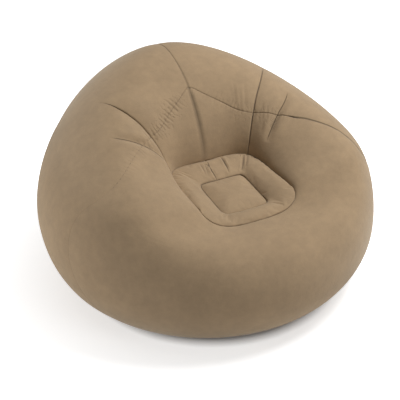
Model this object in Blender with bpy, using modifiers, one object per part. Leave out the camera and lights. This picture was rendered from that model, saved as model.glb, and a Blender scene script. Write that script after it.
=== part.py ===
"""An inflatable armchair: a horseshoe tube of flocked PVC film round a sunken seat.

Metres, +Z up, the front towards -Y, the origin on the floor under the middle of the
chair. Left and right are the sitter's, so left is at +X.

The envelope is one smooth surface that is cut into panels along its weld seams. A place
on it is an angle round the chair, 0 at the front and 180 degrees at the back, and a girth
from 0 to 3: girth 0 is the seat seam, 1 the ridge, 2 the widest bulge and 3 the edge of
the floor contact. Each of these is a closed ring, and quarter arcs join them.
"""

import math
from collections import namedtuple

import bmesh
import bpy
import numpy as np
from mathutils import Matrix, Vector

# Overall size, the valve's cap included
CHAIR_WIDTH = 1.200
CHAIR_DEPTH = 1.164

# Film, and the welds that join it
FILM = 0.0006
WEB_FILM = 0.0004
WELD_GAP = 0.0003
WELD_TURN_IN = 0.006

# Bulge ring: the widest line round the outside
BULGE_WIDEST_FROM_FRONT = 0.559
BULGE_FRONT_HEIGHT = 0.190
BULGE_SIDE_HEIGHT = 0.231
BULGE_BACK_HEIGHT = 0.335
BULGE_FRONT_SQUARENESS = 1.94
BULGE_BACK_SQUARENESS = 2.09

# Ridge ring: the top line of the front lobe, the arms and the back
RIDGE_WIDTH = 0.835
RIDGE_FRONT_SETBACK = 0.128
RIDGE_WIDEST_FROM_FRONT = 0.148
RIDGE_BACK_SETBACK = 0.240
RIDGE_FRONT_HEIGHT = 0.358
RIDGE_ARM_HEIGHT = 0.474
RIDGE_BACK_HEIGHT = 0.712
RIDGE_FRONT_SQUARENESS = 2.08
RIDGE_BACK_SQUARENESS = 1.87

# Floor ring: the edge of the floor contact
FLOOR_WIDTH = 0.765
FLOOR_FRONT_SETBACK = 0.162
FLOOR_WIDEST_FROM_FRONT = 0.371
FLOOR_BACK_SETBACK = 0.228
FLOOR_SQUARENESS = 2.06

# Seat seam ring: where the wall of the well meets the seat
SEAT_WIDTH = 0.344
SEAT_FRONT_SETBACK = 0.229
SEAT_DEPTH = 0.368
SEAT_WIDEST_FROM_FRONT = 0.092
SEAT_FRONT_HEIGHT = 0.346
SEAT_SIDE_HEIGHT = 0.388
SEAT_BACK_HEIGHT = 0.386
SEAT_FRONT_SQUARENESS = 3.4
SEAT_BACK_SQUARENESS = 4.4

# Seat cushion: a puffed ring round a sunken square
RECESS_WIDTH = 0.168
RECESS_DEPTH = 0.185
RECESS_FROM_SEAT_FRONT = 0.068
RECESS_DROP = 0.008
RECESS_SQUARENESS = 9
RECESS_CROWN = 0.006
SEAT_RING_PUFF = 0.024

# Creases along the seams
CREASE_DEPTH = 0.008
CREASE_WIDTH = 0.070

# Vents in the webs that hold the seat down
VENT_RADIUS = 0.025
VENT_HEIGHT = 0.160
WEB_END_CLEARANCE = 0.014
CUT_OVERRUN = 0.010

# Valve: the flange's collar and skirt
VALVE_BORE_RADIUS = 0.0162
COLLAR_WALL = 0.0023
COLLAR_STAND_OUT = 0.003
COLLAR_DEPTH = 0.005
SKIRT_RADIUS = 0.035
SKIRT_FILM = 0.0008
STRAP_WIDTH = 0.008
EAR_THICKNESS = 0.0016
EAR_TO_HINGE = 0.0018
HINGE_RISE = 0.027
HINGE_STAND_OUT = 0.002

# Valve: the stopper
STOPPER_LIP_RADIUS = 0.020
STOPPER_LIP = 0.002
STOPPER_DEPTH = 0.011
STOPPER_TAPER = 0.0014
STRAP_THICKNESS = 0.0012
STRAP_LEG = 0.0015
FILLING_BORE_RADIUS = 0.009

# Valve: the cap and the check flap
CAP_RADIUS = 0.012
CAP_THICKNESS = 0.0016
CAP_PLUG_DEPTH = 0.006
CAP_PLUG_TAPER = 0.0013
CAP_HINGE_DROP = 0.015
FLAP_RADIUS = 0.0105
FLAP_THICKNESS = 0.0008
FLAP_HINGE_RISE = 0.0115
STRAP_PAST_CAP_HINGE = 0.0005
STRAP_PAST_FLAP_HINGE = 0.0003
SMALL_STRAP_WIDTH = 0.006

# Seams, as places on the surface
CORNER_SEAM_ANGLE = math.radians(133)
REAR_SEAM_GIRTH = 1.6
BULGE_GIRTH = 2
FLOOR_GIRTH = 3
RING_SEAM_CURVE_SHARES = (0.53, -0.49, 0.31, 0.19)

# How far the quarter arcs' handles reach, as shares of the arc's rise and reach
INNER_HANDLE_SHARE = 0.46
OUTER_HANDLE_SHARE = 0.55
LOWER_HANDLE_SHARE = 0.54

# How the crease fades out near the seat and the floor, as girths
CREASE_FADE_SEAT_GIRTH = 0.3
CREASE_FADE_FLOOR_GIRTH = 0.5

# Mesh steps
FRONT_COLUMNS = 28
BACK_COLUMNS = 6
WALL_ROWS = 3
CROWN_ROWS = 7
LOWER_ROWS = 7
SEAT_ROWS = 6
RECESS_RING_SHARES = (1, 0.7, 0)
EASE_SHARE = 0.75
TIP_SHARE = 0.04
SEAM_SAMPLES = 400
SMALL_STEP = 1e-3
MERGE_DISTANCE = 1e-7
SIDES = 24
SHARP_ANGLE = math.radians(40)

# What follows from the sizes above
VALVE_STAND_OUT = COLLAR_STAND_OUT + WELD_GAP + STOPPER_LIP + WELD_GAP + CAP_THICKNESS
BULGE_FRONT = -CHAIR_DEPTH / 2
BULGE_BACK = CHAIR_DEPTH / 2 - VALVE_STAND_OUT
SEAT_FRONT = BULGE_FRONT + SEAT_FRONT_SETBACK
RIDGE_FRONT = BULGE_FRONT + RIDGE_FRONT_SETBACK
FLOOR_FRONT = BULGE_FRONT + FLOOR_FRONT_SETBACK
RECESS_FRONT = SEAT_FRONT + RECESS_FROM_SEAT_FRONT
RECESS_MIDDLE = RECESS_FRONT + RECESS_DEPTH / 2

Ring = namedtuple(
    "Ring",
    "half_width front widest back front_height side_height back_height front_square back_square",
)
SEAT_SEAM = Ring(
    SEAT_WIDTH / 2,
    SEAT_FRONT,
    SEAT_FRONT + SEAT_WIDEST_FROM_FRONT,
    SEAT_FRONT + SEAT_DEPTH,
    SEAT_FRONT_HEIGHT,
    SEAT_SIDE_HEIGHT,
    SEAT_BACK_HEIGHT,
    SEAT_FRONT_SQUARENESS,
    SEAT_BACK_SQUARENESS,
)
RIDGE = Ring(
    RIDGE_WIDTH / 2,
    RIDGE_FRONT,
    RIDGE_FRONT + RIDGE_WIDEST_FROM_FRONT,
    BULGE_BACK - RIDGE_BACK_SETBACK,
    RIDGE_FRONT_HEIGHT,
    RIDGE_ARM_HEIGHT,
    RIDGE_BACK_HEIGHT,
    RIDGE_FRONT_SQUARENESS,
    RIDGE_BACK_SQUARENESS,
)
BULGE = Ring(
    CHAIR_WIDTH / 2,
    BULGE_FRONT,
    BULGE_FRONT + BULGE_WIDEST_FROM_FRONT,
    BULGE_BACK,
    BULGE_FRONT_HEIGHT,
    BULGE_SIDE_HEIGHT,
    BULGE_BACK_HEIGHT,
    BULGE_FRONT_SQUARENESS,
    BULGE_BACK_SQUARENESS,
)
FLOOR = Ring(
    FLOOR_WIDTH / 2,
    FLOOR_FRONT,
    FLOOR_FRONT + FLOOR_WIDEST_FROM_FRONT,
    BULGE_BACK - FLOOR_BACK_SETBACK,
    0,
    0,
    0,
    FLOOR_SQUARENESS,
    FLOOR_SQUARENESS,
)


# The smooth surface


def signed_power(values, power):
    return np.sign(values) * np.abs(values) ** power


def ring_points(ring, angle):
    """The ring's points at these angles, as an array whose last axis is x, y, z."""
    forward = -np.cos(angle)
    at_back = forward > 0
    power = 2 / np.where(at_back, ring.back_square, ring.front_square)
    reach = np.where(at_back, ring.back - ring.widest, ring.widest - ring.front)
    tilt = (ring.back_height - ring.front_height) / 2
    bow = (ring.back_height + ring.front_height) / 2 - ring.side_height
    x = ring.half_width * signed_power(np.sin(angle), power)
    y = ring.widest + reach * signed_power(forward, power)
    z = ring.side_height + tilt * forward + bow * forward**2
    return np.stack([x, y, z], axis=-1)


def quarter_arc(start, end, handle_share, share, rises_first):
    """A cubic arc that leaves start upright and ends level, or the other way round."""
    rise = (end - start) * (0, 0, 1)
    reach = (end - start) * (1, 1, 0)
    first, last = (rise, reach) if rises_first else (reach, rise)
    near = start + first * handle_share
    far = end - last * handle_share
    rest = 1 - share
    return rest**3 * start + 3 * rest**2 * share * near + 3 * rest * share**2 * far + share**3 * end


def surface_points(angle, girth):
    seat, ridge, bulge, floor = (ring_points(ring, angle) for ring in (SEAT_SEAM, RIDGE, BULGE, FLOOR))
    girth = np.asarray(girth)[..., None]
    inner = quarter_arc(seat, ridge, INNER_HANDLE_SHARE, girth, True)
    outer = quarter_arc(ridge, bulge, OUTER_HANDLE_SHARE, girth - 1, False)
    lower = quarter_arc(bulge, floor, LOWER_HANDLE_SHARE, girth - BULGE_GIRTH, True)
    return np.where(girth < 1, inner, np.where(girth < BULGE_GIRTH, outer, lower))


def unit(vectors):
    return vectors / np.linalg.norm(vectors, axis=-1, keepdims=True)


def surface_normals(angle, girth):
    """The outward normals, from steps along the surface that stay inside its ends."""
    before = np.clip(girth - SMALL_STEP, 0, FLOOR_GIRTH)
    after = np.clip(girth + SMALL_STEP, 0, FLOOR_GIRTH)
    along = surface_points(angle, after) - surface_points(angle, before)
    around = surface_points(angle + SMALL_STEP, girth) - surface_points(angle - SMALL_STEP, girth)
    return unit(np.cross(along, around))


# The seams and the grid lines that the panels share


def eased(count):
    """Shares from 0 to 1 that crowd towards both ends, where the seams are."""
    even = np.linspace(0, 1, count + 1)
    return (1 - EASE_SHARE) * even + EASE_SHARE * (1 - np.cos(math.pi * even)) / 2


def ring_seam_girth(angle):
    """Girth of the ring seam, which runs round the back and down both sides."""
    from_back = math.pi - np.abs(angle)
    return np.polynomial.polynomial.polyval(from_back, RING_SEAM_CURVE_SHARES)


JUNCTION_GIRTH = float(ring_seam_girth(CORNER_SEAM_ANGLE))
WALL_GIRTHS = JUNCTION_GIRTH * np.linspace(0, 1, WALL_ROWS + 1)
CROWN_SHARES = eased(CROWN_ROWS)
CROWN_GIRTHS = JUNCTION_GIRTH + (REAR_SEAM_GIRTH - JUNCTION_GIRTH) * CROWN_SHARES
LOWER_GIRTHS = np.linspace(REAR_SEAM_GIRTH, FLOOR_GIRTH, LOWER_ROWS + 1)
OUTER_GIRTHS = np.concatenate([CROWN_GIRTHS, LOWER_GIRTHS[1:]])
FRONT_GIRTHS = np.concatenate([WALL_GIRTHS, OUTER_GIRTHS[1:]])
BACK_ANGLES = CORNER_SEAM_ANGLE + (math.pi - CORNER_SEAM_ANGLE) * eased(BACK_COLUMNS)


def front_panel_angle(girth):
    """Half the front panel's turn: the corner seam in the well, the ring seam past it."""
    samples = np.linspace(CORNER_SEAM_ANGLE, 0, SEAM_SAMPLES)
    seam = ring_seam_girth(samples)
    past_junction = np.interp(girth, seam, samples)
    return np.where(girth <= JUNCTION_GIRTH, CORNER_SEAM_ANGLE, past_junction)


FRONT_SHARES = 2 * eased(FRONT_COLUMNS) - 1
SEAT_ANGLES = np.concatenate(
    [CORNER_SEAM_ANGLE * FRONT_SHARES, BACK_ANGLES[1:], (2 * math.pi - BACK_ANGLES[::-1])[1:]]
)
FLOOR_FRONT_ANGLE = float(front_panel_angle(FLOOR_GIRTH))
SIDE_FLOOR_ANGLES = FLOOR_FRONT_ANGLE + (CORNER_SEAM_ANGLE - FLOOR_FRONT_ANGLE) * eased(BACK_COLUMNS)
BASE_ANGLES = np.concatenate(
    [
        FLOOR_FRONT_ANGLE * FRONT_SHARES,
        SIDE_FLOOR_ANGLES[1:],
        BACK_ANGLES[1:],
        (2 * math.pi - BACK_ANGLES[::-1])[1:],
        (2 * math.pi - SIDE_FLOOR_ANGLES[::-1])[1:],
    ]
)


# Scene, materials and sheets


def clear_scene():
    for thing in list(bpy.data.objects):
        bpy.data.objects.remove(thing, do_unlink=True)


def new_collection(name):
    collection = bpy.data.collections.new(name)
    bpy.context.scene.collection.children.link(collection)
    return collection


clear_scene()
PARTS = new_collection("inflatable_armchair")
CUTTERS = new_collection("cutters")
CUTTERS.hide_render = True


def principled(name, colour, roughness):
    material = bpy.data.materials.new(name)
    material.use_nodes = True
    shader = material.node_tree.nodes["Principled BSDF"]
    shader.inputs["Base Color"].default_value = (*colour, 1)
    shader.inputs["Roughness"].default_value = roughness
    material.diffuse_color = (*colour, 1)
    return material


FLOCKED_TAUPE = (0.300, 0.225, 0.155)
WEB_GREY = (0.320, 0.300, 0.270)
MOULDED_TAUPE = (0.180, 0.135, 0.095)
MOULDED_CREAM = (0.550, 0.500, 0.420)
FLOCK_ROUGHNESS = 0.9
WEB_ROUGHNESS = 0.6
MOULDED_ROUGHNESS = 0.4


def add_object(name, mesh, material):
    thing = bpy.data.objects.new(name, mesh)
    PARTS.objects.link(thing)
    mesh.materials.append(material)
    return thing


def split_from_top(face):
    """Splits a twisted quad from its top corner, so that the strips of two panels match."""
    corners = list(face.verts)
    top = max(range(len(corners)), key=lambda index: corners[index].co.z)
    bmesh.utils.face_split(face, corners[top], corners[top - 2])


def mesh_of_grid(name, nodes, outward, left_out):
    """A quad mesh through nodes[i][j], its faces towards outward[i][j], without some cells."""
    columns, rows = nodes.shape[0] - 1, nodes.shape[1] - 1
    bm = bmesh.new()
    bmesh.ops.create_grid(bm, x_segments=columns, y_segments=rows, size=1)
    # The unit grid spans -1 to 1 each way, so a place on it gives a column and a row
    gone, edge_faces = [], []
    for face in bm.faces:
        middle = face.calc_center_median()
        i = int((middle.x + 1) / 2 * columns)
        j = int((middle.y + 1) / 2 * rows)
        if (i, j) in left_out:
            gone.append(face)
        elif i in (0, columns - 1) or j in (0, rows - 1):
            edge_faces.append(face)
    bmesh.ops.delete(bm, geom=gone, context="FACES")
    wanted = {}
    for vertex in bm.verts:
        i = round((vertex.co.x + 1) / 2 * columns)
        j = round((vertex.co.y + 1) / 2 * rows)
        vertex.co = nodes[i, j]
        wanted[vertex] = Vector(outward[i, j])
    bm.normal_update()
    if sum(vertex.normal.dot(wanted[vertex]) for vertex in bm.verts) < 0:
        bmesh.ops.reverse_faces(bm, faces=bm.faces)
    for face in edge_faces:
        split_from_top(face)
    bmesh.ops.remove_doubles(bm, verts=bm.verts, dist=MERGE_DISTANCE)
    mesh = bpy.data.meshes.new(name)
    bm.to_mesh(mesh)
    bm.free()
    mesh.shade_smooth()
    return mesh


def solidify(thing, thickness, offset=-1):
    modifier = thing.modifiers.new("film", "SOLIDIFY")
    modifier.thickness = thickness
    modifier.offset = offset
    modifier.use_even_offset = True


# Panels of the envelope

def grid_side(side):
    """One side of a panel's grid: its axis, its line and the line next to it."""
    axis = 0 if side in ("left", "right") else 1
    first, second = (0, 1) if side in ("left", "low") else (-1, -2)
    return axis, first, second


def grid_line(axis, index):
    return (index, slice(None)) if axis == 0 else (slice(None), index)


def distance_from_side(points, side):
    """How far each node lies from one side of the grid, along the surface."""
    axis, first, _ = grid_side(side)
    steps = np.linalg.norm(np.diff(points, axis=axis), axis=-1)
    run = np.insert(np.cumsum(steps, axis=axis), 0, 0, axis=axis)
    return run if first == 0 else np.take(run, [-1], axis=axis) - run


def crease(points, girth, seams):
    """How far the seams draw each node in. It fades out at the seat and at the floor."""
    pull = np.zeros(points.shape[:2])
    for side in seams:
        near = np.clip(1 - distance_from_side(points, side) / CREASE_WIDTH, 0, 1)
        pull = np.maximum(pull, near**2)
    fade_in = np.clip(girth / CREASE_FADE_SEAT_GIRTH, 0, 1)
    fade_out = np.clip((FLOOR_GIRTH - girth) / CREASE_FADE_FLOOR_GIRTH, 0, 1)
    return (CREASE_DEPTH * pull * fade_in * fade_out)[..., None]


def drawn_back(points, normals, seams):
    """The nodes with half the weld gap left at each seam, square to it."""
    moved = points.copy()
    for side in seams:
        axis, first, second = grid_side(side)
        line = grid_line(axis, first)
        along = unit(np.gradient(points[line], axis=0))
        across = np.cross(normals[line], along)
        inside = points[grid_line(axis, second)] - points[line]
        facing = np.sign(np.sum(across * inside, axis=-1, keepdims=True))
        moved[line] += facing * across * WELD_GAP / 2
    return moved


def turned_in(points, normals, seams):
    """The grid with one more line past each side: seams turn in, the seat side drops."""
    turn = np.pad(-normals, ((1, 1), (1, 1), (0, 0)), mode="edge") * WELD_TURN_IN
    turn[1:-1, 1:-1] = 0
    if "low" not in seams:
        turn[:, 0] = (0, 0, -WELD_TURN_IN)
    return np.pad(points, ((1, 1), (1, 1), (0, 0)), mode="edge") + turn


def corner_cells(nodes, tip):
    """Cells of the turned edges near the corners, where the edges stop short."""
    columns, rows = nodes.shape[0] - 1, nodes.shape[1] - 1
    end_columns = (0, 1, columns - 2, columns - 1)
    end_rows = (0, 1, rows - 2, rows - 1)
    cells = {(i, j) for i in (0, columns - 1) for j in end_rows}
    cells |= {(i, j) for i in end_columns for j in (0, rows - 1)}
    if tip:
        cells |= {(i, 0) for i in range(columns)}
    return cells


def wall_panel(name, angle, girth, low_edge):
    """A panel between four edges. low_edge is a seam, a drop at the seat or a pointed tip."""
    seams = ["left", "right", "high"] + ["low"] * (low_edge == "seam")
    smooth = surface_points(angle, girth)
    normals = surface_normals(angle, girth)
    points = drawn_back(smooth, normals, seams) - normals * crease(smooth, girth, seams)
    if low_edge == "tip":
        middle_of_next = (points[0, 1] + points[-1, 1]) / 2
        points[:, 0] = points[0, 0] + (middle_of_next - points[0, 0]) * TIP_SHARE
    nodes = turned_in(points, normals, seams)
    facing = np.pad(normals, ((1, 1), (1, 1), (0, 0)), mode="edge")
    mesh = mesh_of_grid(name, nodes, facing, corner_cells(nodes, low_edge == "tip"))
    panel = add_object(name, mesh, principled(name, FLOCKED_TAUPE, FLOCK_ROUGHNESS))
    solidify(panel, FILM)


def build_front_panel():
    half_turn = front_panel_angle(FRONT_GIRTHS)
    angle = FRONT_SHARES[:, None] * half_turn
    girth = np.broadcast_to(FRONT_GIRTHS, angle.shape)
    wall_panel("arms_front_panel", angle, girth, "drop")


def build_side_panel(name, sign):
    front_edge = front_panel_angle(OUTER_GIRTHS)
    angle = front_edge + (CORNER_SEAM_ANGLE - front_edge) * eased(BACK_COLUMNS)[:, None]
    girth = np.broadcast_to(OUTER_GIRTHS, angle.shape)
    wall_panel(name, sign * angle, girth, "tip")


def build_crown_panel(name, sign):
    angle = np.broadcast_to(BACK_ANGLES[:, None], (len(BACK_ANGLES), len(CROWN_SHARES)))
    start = ring_seam_girth(BACK_ANGLES)[:, None]
    girth = start + (REAR_SEAM_GIRTH - start) * CROWN_SHARES
    wall_panel(name, sign * angle, girth, "seam")


def build_inner_back_panel(name, sign):
    shares = WALL_GIRTHS / JUNCTION_GIRTH
    angle = np.broadcast_to(BACK_ANGLES[:, None], (len(BACK_ANGLES), len(shares)))
    girth = ring_seam_girth(BACK_ANGLES)[:, None] * shares
    wall_panel(name, sign * angle, girth, "drop")


REAR_ANGLES = np.concatenate([BACK_ANGLES, (2 * math.pi - BACK_ANGLES[::-1])[1:]])


def build_rear_panel():
    angle = np.broadcast_to(REAR_ANGLES[:, None], (len(REAR_ANGLES), len(LOWER_GIRTHS)))
    girth = np.broadcast_to(LOWER_GIRTHS, angle.shape)
    wall_panel("rear_panel", angle, girth, "seam")


# Seat and base: closed sheets, given as loops of nodes from the outside in


def flocked_sheet(name, loops, facing=(0, 0, 1)):
    """A flocked sheet through closed loops. A last loop on one point closes it there."""
    nodes = np.stack(loops, axis=1)
    mesh = mesh_of_grid(name, nodes, np.broadcast_to(facing, nodes.shape), ())
    thing = add_object(name, mesh, principled(name, FLOCKED_TAUPE, FLOCK_ROUGHNESS))
    solidify(thing, FILM)


def seat_level(y):
    """Height of the seat's plane, which rises from its front seam to its back seam."""
    share = (y - SEAT_FRONT) / SEAT_DEPTH
    return SEAT_FRONT_HEIGHT + (SEAT_BACK_HEIGHT - SEAT_FRONT_HEIGHT) * share


def lowered(loop, drop):
    return loop - np.array([0, 0, drop])


def seat_edge(clearance):
    """The seat seam's points, this far from the wall of the well."""
    girth = np.zeros_like(SEAT_ANGLES)
    return surface_points(SEAT_ANGLES, girth) + surface_normals(SEAT_ANGLES, girth) * clearance


def recess_edge(clearance):
    """The rounded square in the middle of the seat, one point for each point of the seam."""
    ray = surface_points(SEAT_ANGLES, np.zeros_like(SEAT_ANGLES))[:, :2] - (0, RECESS_MIDDLE)
    ray = unit(ray)
    half = np.array([RECESS_WIDTH, RECESS_DEPTH]) / 2
    reach = np.sum(np.abs(ray / half) ** RECESS_SQUARENESS, axis=-1) ** (-1 / RECESS_SQUARENESS)
    flat = ray * (reach[:, None] + clearance) + (0, RECESS_MIDDLE)
    height = seat_level(flat[:, 1]) - RECESS_DROP
    return np.column_stack([flat, height])


def build_seat_ring():
    outer, inner = seat_edge(WELD_GAP), recess_edge(WELD_GAP)
    loops = [lowered(outer, WELD_TURN_IN)]
    for turn in np.linspace(0, math.pi, SEAT_ROWS + 1):
        across = (1 - math.cos(turn)) / 2
        loops.append(outer + (inner - outer) * across + (0, 0, SEAT_RING_PUFF * math.sin(turn)))
    loops.append(lowered(inner, WELD_TURN_IN))
    flocked_sheet("seat_ring_panel", loops)


def build_seat_centre():
    edge = recess_edge(0)
    middle = np.array([0, RECESS_MIDDLE, seat_level(RECESS_MIDDLE) - RECESS_DROP])
    loops = [lowered(edge, WELD_TURN_IN)]
    for share in RECESS_RING_SHARES:
        loops.append(middle + (edge - middle) * share + (0, 0, RECESS_CROWN * (1 - share**2)))
    flocked_sheet("seat_centre_panel", loops)


def build_base():
    edge = surface_points(BASE_ANGLES, np.full_like(BASE_ANGLES, FLOOR_GIRTH))
    along = np.roll(edge[:-1], -1, axis=0) - np.roll(edge[:-1], 1, axis=0)
    inwards = unit(np.cross((0, 0, 1), along))
    edge = edge + np.vstack([inwards, inwards[:1]]) * WELD_GAP / 2
    middle = np.broadcast_to([0, RECESS_MIDDLE, 0], edge.shape)
    loops = [lowered(edge, -WELD_TURN_IN), edge, middle]
    flocked_sheet("base_panel", loops, facing=(0, 0, -1))


# Webs inside the seat


WEB_FOOT = FILM + WELD_GAP
UNDER_WELD = WELD_TURN_IN + WELD_GAP

# The tie strips of the sunken square, a quarter turn apart
WEB_SIDES = ("front", "left", "back", "right")


def web_facing(side):
    """The way that a tie strip faces, as whole steps along x and y."""
    turn = WEB_SIDES.index(side) * math.pi / 2
    return np.array([round(math.sin(turn)), -round(math.cos(turn))])


def web(name, nodes, facing):
    """A web between a line of feet and a line of tops, its film centred on them."""
    mesh = mesh_of_grid(name, nodes, facing, ())
    thing = add_object(name, mesh, principled(name, WEB_GREY, WEB_ROUGHNESS))
    solidify(thing, WEB_FILM, 0)
    return thing


def build_drum():
    """The closed web from the seat seam down to the base."""
    top = lowered(seat_edge(WELD_GAP / 2), UNDER_WELD)
    foot = top * (1, 1, 0) + (0, 0, WEB_FOOT)
    outwards = top - (0, RECESS_MIDDLE, 0)
    drum = web("seat_drum_web", np.stack([foot, top], axis=1), np.stack([outwards, outwards], axis=1))
    for axis in ("X", "Y"):
        combine(drum, vent_cutter(f"drum_vent_{axis}", axis), "DIFFERENCE")


def build_tie_strip(side):
    """A flat web from one edge of the sunken square down to the base."""
    faces = web_facing(side)
    square = np.array([RECESS_WIDTH, RECESS_DEPTH])
    middle = faces * square / 2 + (0, RECESS_MIDDLE)
    half_length = np.abs(faces[::-1]) * (square / 2 - WEB_END_CLEARANCE)
    ends = np.array([middle - half_length, middle + half_length])
    foot = np.column_stack([ends, [WEB_FOOT] * 2])
    top = np.column_stack([ends, seat_level(ends[:, 1]) - RECESS_DROP - UNDER_WELD])
    nodes = np.stack([foot, top], axis=1)
    strip = web(f"seat_web_{side}", nodes, np.broadcast_to((*faces, 0), nodes.shape))
    combine(strip, vent_cutter(f"web_vent_{side}", "X" if faces[0] else "Y"), "DIFFERENCE")


def vent_cutter(name, axis):
    """A round bar through the whole seat at the height of the vents."""
    reach = SEAT_WIDTH + SEAT_DEPTH
    cutter = cylinder(name, VENT_RADIUS, VENT_RADIUS, -reach, reach, axis)
    place_at(cutter, (0, RECESS_MIDDLE, VENT_HEIGHT))
    return cutter


# Solids for the valve


def place_at(thing, place):
    thing.data.transform(Matrix.Translation(place))


def cylinder(name, near_radius, far_radius, near, far, axis="Y"):
    """A cylinder or a taper along an axis, from near to far on it, as a helper."""
    bm = bmesh.new()
    bmesh.ops.create_cone(
        bm, cap_ends=True, segments=SIDES, radius1=near_radius, radius2=far_radius, depth=far - near
    )
    turn = Matrix.Rotation(-math.pi / 2, 4, "X") if axis == "Y" else Matrix.Rotation(math.pi / 2, 4, "Y")
    middle = (near + far) / 2
    offset = (0, middle, 0) if axis == "Y" else (middle, 0, 0)
    bmesh.ops.transform(bm, matrix=Matrix.Translation(offset) @ turn, verts=bm.verts)
    return helper(name, bm)


def block(name, low, high):
    """A box between two corners, as a helper."""
    bm = bmesh.new()
    bmesh.ops.create_cube(bm, size=1)
    low, high = Vector(low), Vector(high)
    bmesh.ops.scale(bm, vec=high - low, verts=bm.verts)
    bmesh.ops.translate(bm, vec=(low + high) / 2, verts=bm.verts)
    return helper(name, bm)


def helper(name, bm):
    mesh = bpy.data.meshes.new(name)
    bm.to_mesh(mesh)
    bm.free()
    thing = bpy.data.objects.new(name, mesh)
    thing.hide_render = True
    thing.display_type = "WIRE"
    CUTTERS.objects.link(thing)
    return thing


def combine(thing, tool, operation):
    modifier = thing.modifiers.new(tool.name, "BOOLEAN")
    modifier.operation = operation
    modifier.object = tool
    modifier.solver = "EXACT"


def moulded(name, first_shape, colour):
    """A node that starts as a copy of a helper's shape."""
    mesh = first_shape.data.copy()
    CUTTERS.objects.unlink(first_shape)
    bpy.data.objects.remove(first_shape)
    mesh.name = name
    mesh.shade_smooth()
    mesh.set_sharp_from_angle(angle=SHARP_ANGLE)
    return add_object(name, mesh, principled(name, colour, MOULDED_ROUGHNESS))


def set_origin(thing, place):
    """Puts a moving piece's origin on its hinge, its shape staying where it is."""
    thing.data.transform(Matrix.Translation(-Vector(place)))
    thing.location = place


# Valve, measured outwards from the film at the bulge of the back

COLLAR_RADIUS = VALVE_BORE_RADIUS + COLLAR_WALL
LIP_UNDER = COLLAR_STAND_OUT + WELD_GAP
LIP_TOP = LIP_UNDER + STOPPER_LIP
STOPPER_TIP = LIP_UNDER - STOPPER_DEPTH
CAP_UNDER = LIP_TOP + WELD_GAP
FLAP_TOP = STOPPER_TIP - WELD_GAP


def at_valve(out, rise):
    return (0, BULGE_BACK + out, BULGE_BACK_HEIGHT + rise)


def valve_cylinder(name, near_radius, far_radius, near, far):
    thing = cylinder(name, near_radius, far_radius, near, far)
    place_at(thing, at_valve(0, 0))
    return thing


def valve_block(name, width, out_low, out_high, rise_low, rise_high):
    low, high = at_valve(out_low, rise_low), at_valve(out_high, rise_high)
    return block(name, (-width / 2, *low[1:]), (width / 2, *high[1:]))


def build_valve_flange():
    columns = BACK_ANGLES[-2], BACK_ANGLES[-1], 2 * math.pi - BACK_ANGLES[-2]
    rows = LOWER_GIRTHS[np.argsort(np.abs(LOWER_GIRTHS - BULGE_GIRTH))[:3]]
    angle, girth = np.meshgrid(columns, np.sort(rows), indexing="ij")
    normals = surface_normals(angle, girth)
    nodes = surface_points(angle, girth) - normals * (FILM + WELD_GAP)
    mesh = mesh_of_grid("valve_flange", nodes, normals, ())
    flange = add_object("valve_flange", mesh, principled("valve_flange", MOULDED_TAUPE, MOULDED_ROUGHNESS))
    solidify(flange, SKIRT_FILM)
    reach = SKIRT_RADIUS + CUT_OVERRUN
    combine(flange, valve_cylinder("skirt_outline", SKIRT_RADIUS, SKIRT_RADIUS, -reach, reach), "INTERSECT")
    collar = valve_cylinder("collar", COLLAR_RADIUS, COLLAR_RADIUS, -COLLAR_DEPTH, COLLAR_STAND_OUT)
    combine(flange, collar, "UNION")
    ear_start = VALVE_BORE_RADIUS + COLLAR_WALL / 2
    ear_end = HINGE_RISE - EAR_TO_HINGE
    ear = valve_block("strap_ear", STRAP_WIDTH, WELD_GAP, WELD_GAP + EAR_THICKNESS, ear_start, ear_end)
    combine(flange, ear, "UNION")
    bore = valve_cylinder("valve_bore", VALVE_BORE_RADIUS, VALVE_BORE_RADIUS, -reach, reach)
    combine(flange, bore, "DIFFERENCE")
    hole_radius = COLLAR_RADIUS + WELD_GAP
    hole = valve_cylinder("panel_hole", hole_radius, hole_radius, -reach, reach)
    combine(bpy.data.objects["rear_panel"], hole, "DIFFERENCE")


def build_valve_stopper():
    lip = valve_cylinder("lip", STOPPER_LIP_RADIUS, STOPPER_LIP_RADIUS, LIP_UNDER, LIP_TOP)
    stopper = moulded("valve_stopper", lip, MOULDED_CREAM)
    plug_radius = VALVE_BORE_RADIUS - WELD_GAP
    plug_end = LIP_UNDER + STOPPER_LIP / 2
    plug = valve_cylinder("plug", plug_radius - STOPPER_TAPER, plug_radius, STOPPER_TIP, plug_end)
    combine(stopper, plug, "UNION")
    strap_top = LIP_UNDER + STRAP_THICKNESS
    strap_start = STOPPER_LIP_RADIUS - STOPPER_LIP
    strap_end = HINGE_RISE + STRAP_LEG
    strap = valve_block("strap", STRAP_WIDTH, LIP_UNDER, strap_top, strap_start, strap_end)
    combine(stopper, strap, "UNION")
    leg_low = HINGE_STAND_OUT - STRAP_LEG / 2
    leg = valve_block("strap_leg", STRAP_WIDTH, leg_low, strap_top, HINGE_RISE, strap_end)
    combine(stopper, leg, "UNION")
    bore_end = LIP_TOP + CUT_OVERRUN
    bore_start = STOPPER_TIP - CUT_OVERRUN
    bore = valve_cylinder("filling_bore", FILLING_BORE_RADIUS, FILLING_BORE_RADIUS, bore_start, bore_end)
    combine(stopper, bore, "DIFFERENCE")
    set_origin(stopper, at_valve(HINGE_STAND_OUT, HINGE_RISE))


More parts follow.
